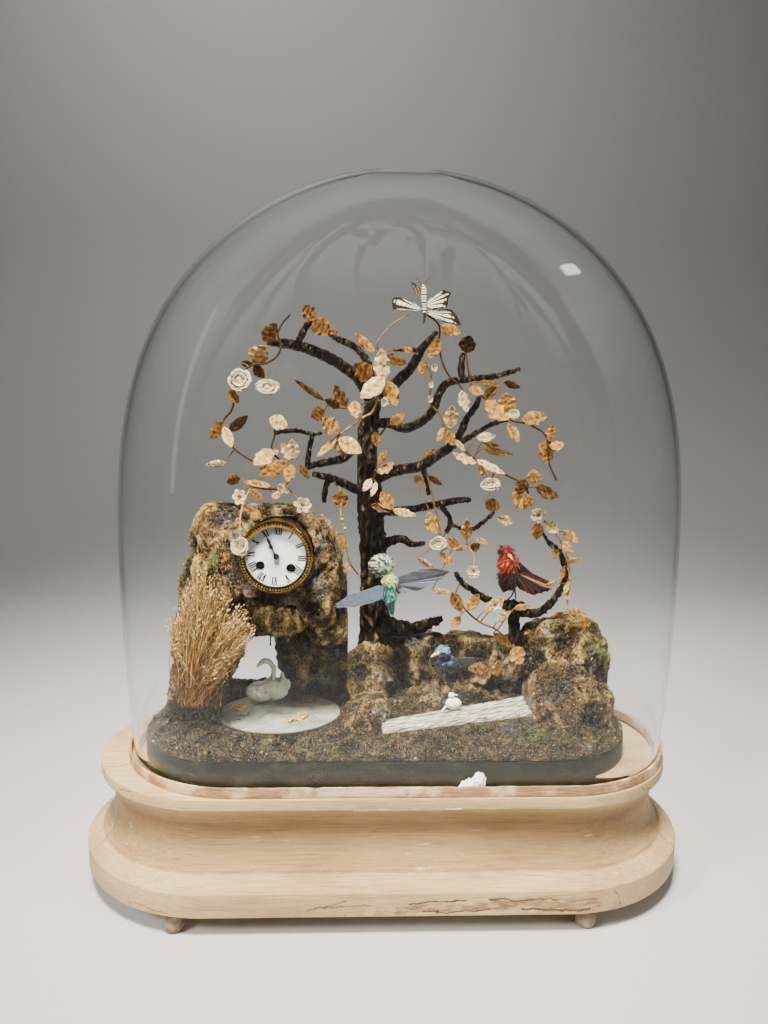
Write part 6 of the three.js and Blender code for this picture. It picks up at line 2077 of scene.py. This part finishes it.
def makeButterfly():
    y = -20
    body = fused([limbCurve([(422.6, 284.6, y), (423.8, 290, y), (424.2, 300, y), (424.6, 311, y),
                             (423.6, 324.2, y)], [1.4, 2.6, 2.6, 1.9, 0.8], "body")],
                 "butterflyBody", 0.45)
    top = seen(424, 284, y).z
    toneBy(body, lambda at: (0.85 if math.sin((at.z - top) * 2600) > -0.2 and
                             top - at.z < 0.027 else 0.05))
    things = [body]
    for side in (-1, 1):
        feeler = limbCurve([(423 + side, 286, y - 1), (423 + side * 4, 281, y - 3),
                            (423 + side * 7, 278, y - 4)], [0.25, 0.2], "feeler")
        setTone(feeler.data, 0.02)
        things.append(feeler)
    things += [
        fanWing((423, 311), [(417.8, 306.5), (413.8, 303.4), (406.5, 300.6), (399.9, 298.6),
                             (394.6, 298.2), (391.4, 301.5), (392.6, 311), (397, 309.2),
                             (405.9, 310.4), (412, 311.8)], y, -0.25, 5, 0.9),
        fanWing((423.5, 302), [(415.4, 293), (411, 281), (415, 283), (419, 287), (423, 294)],
                y + 1, 0.5, 4, 0.35),
        fanWing((424.4, 306), [(428, 300), (437, 294), (443, 290.4), (450.6, 293.6), (448, 300),
                               (447, 307.6), (440, 309), (430, 309)], y, -0.12, 8, 0.92, 0.8),
        fanWing((424.4, 312), [(436, 308.8), (446, 309.6), (451.5, 310), (456.6, 316),
                               (458.3, 319.7), (461.2, 326.2), (454, 325), (447, 323.4),
                               (437, 320), (430.5, 316.4)], y + 0.6, -0.05, 9, 0.9, 0.78, 0.35, 0.5),
    ]
    piece = joined(things, "butterflyWings")
    handIn(piece, "butterfly_wing", "butterfly", paint=paints["wing"])


def downward(at):
    return Vector((0, 0.15, -1))


def makeHummingbird():
    y = -15
    head, chest = seen(390, 582, y), seen(389.5, 594, y)
    body = fused([plump(390, 582, y, 7.6, 7.6), plump(389.5, 594, y, 7.2, 10.6, 7.2),
                  limbCurve([(390, 600, y), (391.5, 607, y + 2), (392, 613, y + 4)],
                            [4, 3, 1.4], "tail")], "hummingbird", 0.8)
    rule = lambda at: 0.86 if at.z > head.z - 0.004 else 0.62 if at.z > chest.z - 0.004 else 0.52
    toneBy(body, rule)
    coat = featherCoat(body, 700, (1.4, 2.8), 31, rule, downward)
    tuft = plump(382, 566, y + 8, 11.4, 10.4, 8)
    setTone(tuft.data, 0.9)
    fluff = featherCoat(tuft, 620, (1.6, 3.4), 32,
                        lambda at: 1.0 if noise.noise(at * 420) > -0.12 else 0.1,
                        lambda at: Vector((at.x - head.x, 0, 0.004)), 1.0, model="quill")
    toneBy(tuft, lambda at: 0.95 if noise.noise(at * 420) > -0.12 else 0.12)
    beak = limbCurve([(388, 582, y - 4), (384, 590, y - 12), (383, 600, y - 16)],
                     [1.5, 0.9, 0.5], "beak")
    setTone(beak.data, 0.03)
    perch = limbCurve([(384, 570, y + 6), (380, 566, y + 20), (376, 562, 39)], [2.8, 2.2, 1.5],
                      "perch")
    setTone(perch.data, 0.1)
    left = wingSheet("leftWing", [(387, 586), (378, 584), (366, 586.5), (350, 589), (337.4, 596),
                                  (337, 599.6), (352, 601), (368, 600.5), (384, 598)], y, 0.4,
                     -0.62, lambda at: (0.44 if at.x > -0.03 else 0.32) + 0.22 * noise.noise(
                         (at.x * 40, 0, at.z * 700)))
    right = wingSheet("rightWing", [(390, 580), (405, 574.5), (421, 569.4), (437, 569.4),
                                    (449.6, 572), (441, 580), (423, 589), (403.5, 593.5),
                                    (390, 594)], y, 0.4, 0.1,
                      lambda at: 0.2 + 0.24 * noise.noise((at.x * 50, 0, at.z * 600)))
    rng = random.Random(33)
    quills = []
    for side, start, tips in (
            (-1, (384, 588), [(337.8, 597), (339, 600), (346, 600.5), (353, 600.8), (360, 600.6),
                              (367, 600.2), (374, 599)]),
            (1, (396, 584), [(449, 572.4), (443, 578), (436, 582), (429, 585.4), (421, 589),
                             (413, 591), (405, 592.6)])):
        lean = -0.62 if side < 0 else 0.1
        root = seen(*start, y)
        for count, (px, py) in enumerate(tips):
            tip = seen(px, py, y)
            for share in (1.0, 0.62):
                end = root.lerp(tip, share)
                end.y += lean * abs(end.x - root.x) - 0.0009 * share
                from_ = root + Vector((0, -0.0012, 0.0))
                tone = rng.choice((0.28, 0.42, 0.45, 0.98) if side < 0 else (0.1, 0.16, 0.3, 0.4))
                quills.append((bladePlace(from_, end, 0.0058 * share + 0.001, Vector((0, -1, 0.2))),
                               tone + rng.uniform(-0.04, 0.02)))
    wings = flock(models["quill"], quills, "quills")
    piece = joined([body, coat, tuft, fluff, beak, perch, left, right, wings],
                   "hummingbirdFeathers")
    handIn(piece, "blue_green_feather", "hummingbird", paint=paints["teal"])


def makeRedBird():
    y = 25
    head, breast = seen(505.5, 551, y - 4), seen(508, 563, y - 2)
    body = fused([plump(505.5, 551, y - 4, 7.4, 7.2), plump(508, 563, y - 2, 11, 11, 10),
                  plump(508.5, 577, y, 11, 12, 10)], "redBird", 0.8)

    def rule(at):
        if at.z > head.z - 0.001:
            return 0.5 if at.x > head.x - 0.004 else 0.2
        return 0.68 if at.z > breast.z - 0.009 and at.y < breast.y + 0.004 else 0.12

    toneBy(body, rule)
    coat = featherCoat(body, 620, (2.4, 4.4), 41, rule, downward)
    beak = limbCurve([(508, 554, y - 8), (511, 557, y - 15), (512.4, 559.6, y - 18.6)],
                     [2.2, 1.5, 0.5], "beak")
    setTone(beak.data, 0.95)
    tail = wingSheet("tail", [(504, 570), (520, 562.5), (533, 574), (553, 583.4), (552.6, 590.6),
                              (546, 592.6), (533, 595.6), (520, 589.6)], y, 2, 0.15,
                     lambda at: 0.1 + 0.2 * noise.noise((at.x * 120, 0, at.z * 300)))
    left = wingSheet("leftWing", [(513, 576), (501, 576), (498, 584), (503, 592.6), (513, 588)], y,
                     1.6, 0.1, lambda at: 0.15)
    rng = random.Random(42)
    quills = []
    root = seen(515, 572, y)
    for count, (px, py) in enumerate([(552.6, 584), (552, 588), (548, 591), (542, 593), (535, 594.8),
                                      (528, 593), (521, 589.6), (546, 582), (538, 578)]):
        tip = seen(px, py, y + 0.15 * (px - 504) - 2.2)
        start = root + Vector((0, -0.0015, 0))
        tone = 1.0 if count == 1 else rng.uniform(0.1, 0.5)
        quills.append((bladePlace(start, tip, 0.0052, Vector((0, -1, 0.2))), tone))
    tailQuills = flock(models["quill"], quills, "quills")
    things = [body, coat, beak, tail, left, tailQuills]
    for leg in ([(512, 586, y), (513, 592, y - 1), (507, 600.2, y)],
                [(514, 586, y), (515, 592, y), (515.5, 598.8, y)]):
        thing = limbCurve(leg, [0.9, 0.7], "leg")
        setTone(thing.data, 0.15)
        things.append(thing)
    piece = joined(things, "redBird")
    handIn(piece, "red_feather", "red_bird", paint=paints["red"])


def makeBlueBird():
    y = 10
    head, chest = seen(442.4, 653, y - 3), seen(447.5, 665, y)
    body = fused([plump(442.4, 653, y - 3, 7, 7), plump(447.5, 665, y, 12.6, 8.3, 8.2)],
                 "blueBird", 0.7)

    def rule(at):
        if at.z > head.z + 0.003:
            return 0.68
        if at.z > head.z - 0.004:
            return 0.2
        return 0.56 if at.z > chest.z + 0.003 and at.x < chest.x + 0.004 else 0.08

    toneBy(body, rule)
    coat = featherCoat(body, 480, (2.0, 3.8), 51, rule, lambda at: Vector((0.6, 0.1, -0.6)))
    beak = limbCurve([(438, 653, y - 8), (434, 654.5, y - 12), (430.8, 656.8, y - 14.6)],
                     [2.2, 1.5, 0.6], "beak")
    setTone(beak.data, 0.98)
    tail = wingSheet("tail", [(452, 660), (462, 657.8), (474.6, 658.3), (474, 664.8), (464, 667.6),
                              (452, 669.6)], y, 2.4, 0.15, lambda at: 0.14)
    things = [body, coat, beak, tail]
    for leg in ([(447, 670, y), (447.6, 682, y), (444.7, 689, y - 1)],
                [(457, 668, y + 1), (461, 677, y + 1), (464.5, 686, y + 1)]):
        thing = limbCurve(leg, [0.9, 0.7], "leg")
        setTone(thing.data, 0.05)
        things.append(thing)
    piece = joined(things, "blueBird")
    handIn(piece, "dark_feather", "blue_bird", paint=paints["dark"])


def makeChick():
    y = placesOf["chick"]
    body = fused([plump(451.3, 695, y, 3.1, 3.1), plump(453.3, 703, y, 8, 6.1, 6),
                  limbCurve([(452, 694.6, y - 1), (455, 694.4, y - 1), (457.8, 694.6, y - 1)],
                            [1.2, 0.8, 0.4], "beak"),
                  limbCurve([(446, 706, y), (442, 710, y - 1), (438.4, 712.6, y - 2)],
                            [1.4, 0.9, 0.4], "tail")], "chickPlaster", 0.45)
    roughen(body, 1.6, 0.5)
    smooth(body)
    handIn(body, "pale_plaster", "chick", paint=paints["plaster"])


def makeSwan():
    y = placesOf["swan"]
    neck = limbCurve([(262, 688, y), (269.5, 681, y - 1), (274, 672, y - 2), (271, 663, y - 3),
                      (264.5, 660.6, y - 4), (260.5, 663, y - 5)],
                     [4.6, 3.2, 2.7, 2.9, 3.3, 2.4], "neck")
    beak = limbCurve([(261, 663, y - 5), (258, 665.5, y - 6), (257.2, 666.8, y - 7)],
                     [2.2, 1.5, 0.6], "beak")
    tail = limbCurve([(281, 690, y), (282.6, 680, y), (283, 671.4, y)], [4.2, 3.4, 0.9], "tail")
    wings = [plump(270, 687, y - 9, 13, 7, 3.4, -12), plump(272, 684, y + 8, 13, 8, 3.4, -14)]
    body = fused([plump(261, 691, y, 15.6, 10.6, 11.2), plump(276, 690, y, 12.7, 9.6, 10.2),
                  plump(287, 684, y, 4, 6, 4.6), neck, beak, tail] + wings,
                 "swanPlaster", 0.7)
    roughen(body, 7, 0.9)
    roughen(body, 1.8, 0.35)
    floor = 162.7 * mm
    for vert in body.data.vertices:
        vert.co.z = max(vert.co.z, floor)
    smooth(body)
    handIn(body, "pale_plaster", "swan", paint=paints["plaster"])
    eye = blob(seen(263.3, 662, y - 7), (0.55, 0.4, 0.55), 6)
    handIn(eye, "pale_plaster", paint=paints["ink"])


placesOf = {"swan": 10, "chick": -28}


def lying(px, py, z):
    ray = seen(px, py, 0) - seen(px, py, -400)
    at = seen(px, py, 0)
    return at + ray * ((z * mm - at.z) / ray.z)


def makeFallenLeaves():
    fallen = {
        "fallen_leaf_left": [(231.5, 709.5, 250.5, 704.5, 9, 0.75)],
        "fallen_leaf_right": [(302, 699.5, 319.5, 698.5, 10, 0.7)],
        "fallen_leaf_front": [(281, 720.5, 294, 719, 6, 0.9), (291, 719, 308, 714, 8, 0.85)],
    }
    for name, leaves in fallen.items():
        places = []
        for px, py, tipX, tipY, wide, tone in leaves:
            foot, tip = lying(px, py, 163.3), lying(tipX, tipY, 164.2)
            places.append((bladePlace(foot, tip, wide * mm * 1.3, Vector((0, -0.25, 1))), tone))
        piece = flock(models["leaf"], places, camel(name, "Gilt"), 0.13)
        smooth(piece, 60)
        handIn(piece, "gilt_leaf", name, paint=paints["leaf"])


# A broken shell-like ornament of two lobes lies on the base before the board.
def makeShell():
    lobes = [plump(466.5, 784, -107, 7.8, 4.7, 5.2, -18), plump(478.5, 779.5, -105, 5.8, 7, 4.7, 14)]
    piece = fused(lobes, "shell", 0.5)
    relief(piece, [(5, 1.6, "crag"), (1.6, 0.5, "soft")], (1, 1, 1), 1.0)
    for vert in piece.data.vertices:
        vert.co.z = max(vert.co.z, 0.1238)
    smooth(piece)
    handIn(piece, "pale_plaster", "shell_fragment", paint=paints["plaster"])


makeShell()
makeButterfly()
makeHummingbird()
makeRedBird()
makeBlueBird()
makeChick()
makeSwan()
makeFallenLeaves()
print("animals made")

for model in models.values():
    bpy.data.objects.remove(model, do_unlink=True)


# A plain pale floor that sweeps up behind, a light from above and weak soft lights around.
stageParts = {"wide": 24, "deep": 3.4, "wallAt": 2.4, "wall": 3.4, "sweep": 1.2}


def makeStage():
    deselect()
    bpy.ops.mesh.primitive_plane_add(size=1)
    floor = bpy.context.object
    floor.name = "floor"
    floor.scale = (stageParts["wide"], stageParts["deep"], 1)
    floor.location.y = stageParts["wallAt"] - stageParts["deep"] / 2
    settle(floor)
    bpy.ops.object.mode_set(mode="EDIT")
    bpy.ops.mesh.select_mode(type="VERT")
    chooseVerts(floor, lambda co: co.y > stageParts["wallAt"] - 0.01)
    bpy.ops.mesh.select_mode(type="EDGE")
    bpy.ops.mesh.extrude_region_move(TRANSFORM_OT_translate={"value": (0, 0, stageParts["wall"])})
    chooseVerts(floor, lambda co: co.y > stageParts["wallAt"] - 0.01 and co.z < 0.01)
    bpy.ops.mesh.bevel(offset=stageParts["sweep"], segments=16)
    bpy.ops.object.mode_set(mode="OBJECT")
    smooth(floor)
    paint = Paint("floor", rough=0.9)
    paint.set("Base Color", rgb(178, 177, 173))
    floor.data.materials.append(paint.mat)
    lights = {
        "top": {"at": (-0.2, -0.75, 2.0), "size": (0.42, 0.36), "power": 23, "seen": False,
                "colour": (1.0, 0.97, 0.92), "spread": 62},
        "key": {"at": (-1.5, -1.1, 1.4), "size": (0.5, 0.5), "power": 7, "seen": False,
                "colour": (1.0, 0.98, 0.95), "spread": 50},
        "fill": {"at": (1.6, -0.9, 0.9), "size": (1.0, 1.0), "power": 2, "seen": False,
                 "colour": (0.95, 0.97, 1.0), "spread": 60},
        "back": {"at": (0.2, 1.4, 1.5), "size": (1.4, 1.0), "power": 3.5, "seen": False,
                 "colour": (1.0, 0.98, 0.96), "spread": 80},
        "wall": {"at": (-0.6, 0.9, 3.2), "size": (1.6, 0.6), "power": 24, "seen": False,
                 "colour": (1.0, 0.99, 0.97), "spread": 120, "aim": (0, 2.4, 0.9)},
        "glintLeft": {"at": (-1.5, -0.9, 0.9), "size": (0.12, 1.3), "power": 1.0, "seen": True,
                      "colour": (1, 1, 1), "spread": 180},
        "glintRight": {"at": (1.1, -0.5, 1.7), "size": (0.5, 0.1), "power": 3, "seen": True,
                       "colour": (1, 1, 1), "spread": 180},
    }
    for name, part in lights.items():
        data = bpy.data.lights.new(name, "AREA")
        data.spread = math.radians(part["spread"])
        data.shape = "RECTANGLE"
        data.size, data.size_y = part["size"]
        data.energy = part["power"]
        data.color = part["colour"]
        light = linked(data, name)
        light.visible_glossy = part["seen"]
        light.visible_transmission = part["seen"]
        at = Vector(part["at"])
        turn = (Vector(part.get("aim", (0, 0, 0.3))) - at).to_track_quat("-Z", "Y").to_matrix().to_4x4()
        light.matrix_world = Matrix.Translation(at) @ turn
    world = bpy.data.worlds.new("room")
    world.use_nodes = True
    world.node_tree.nodes["Background"].inputs["Color"].default_value = rgb(206, 208, 212)
    world.node_tree.nodes["Background"].inputs["Strength"].default_value = 0.12
    bpy.context.scene.world = world


makeStage()
deselect()
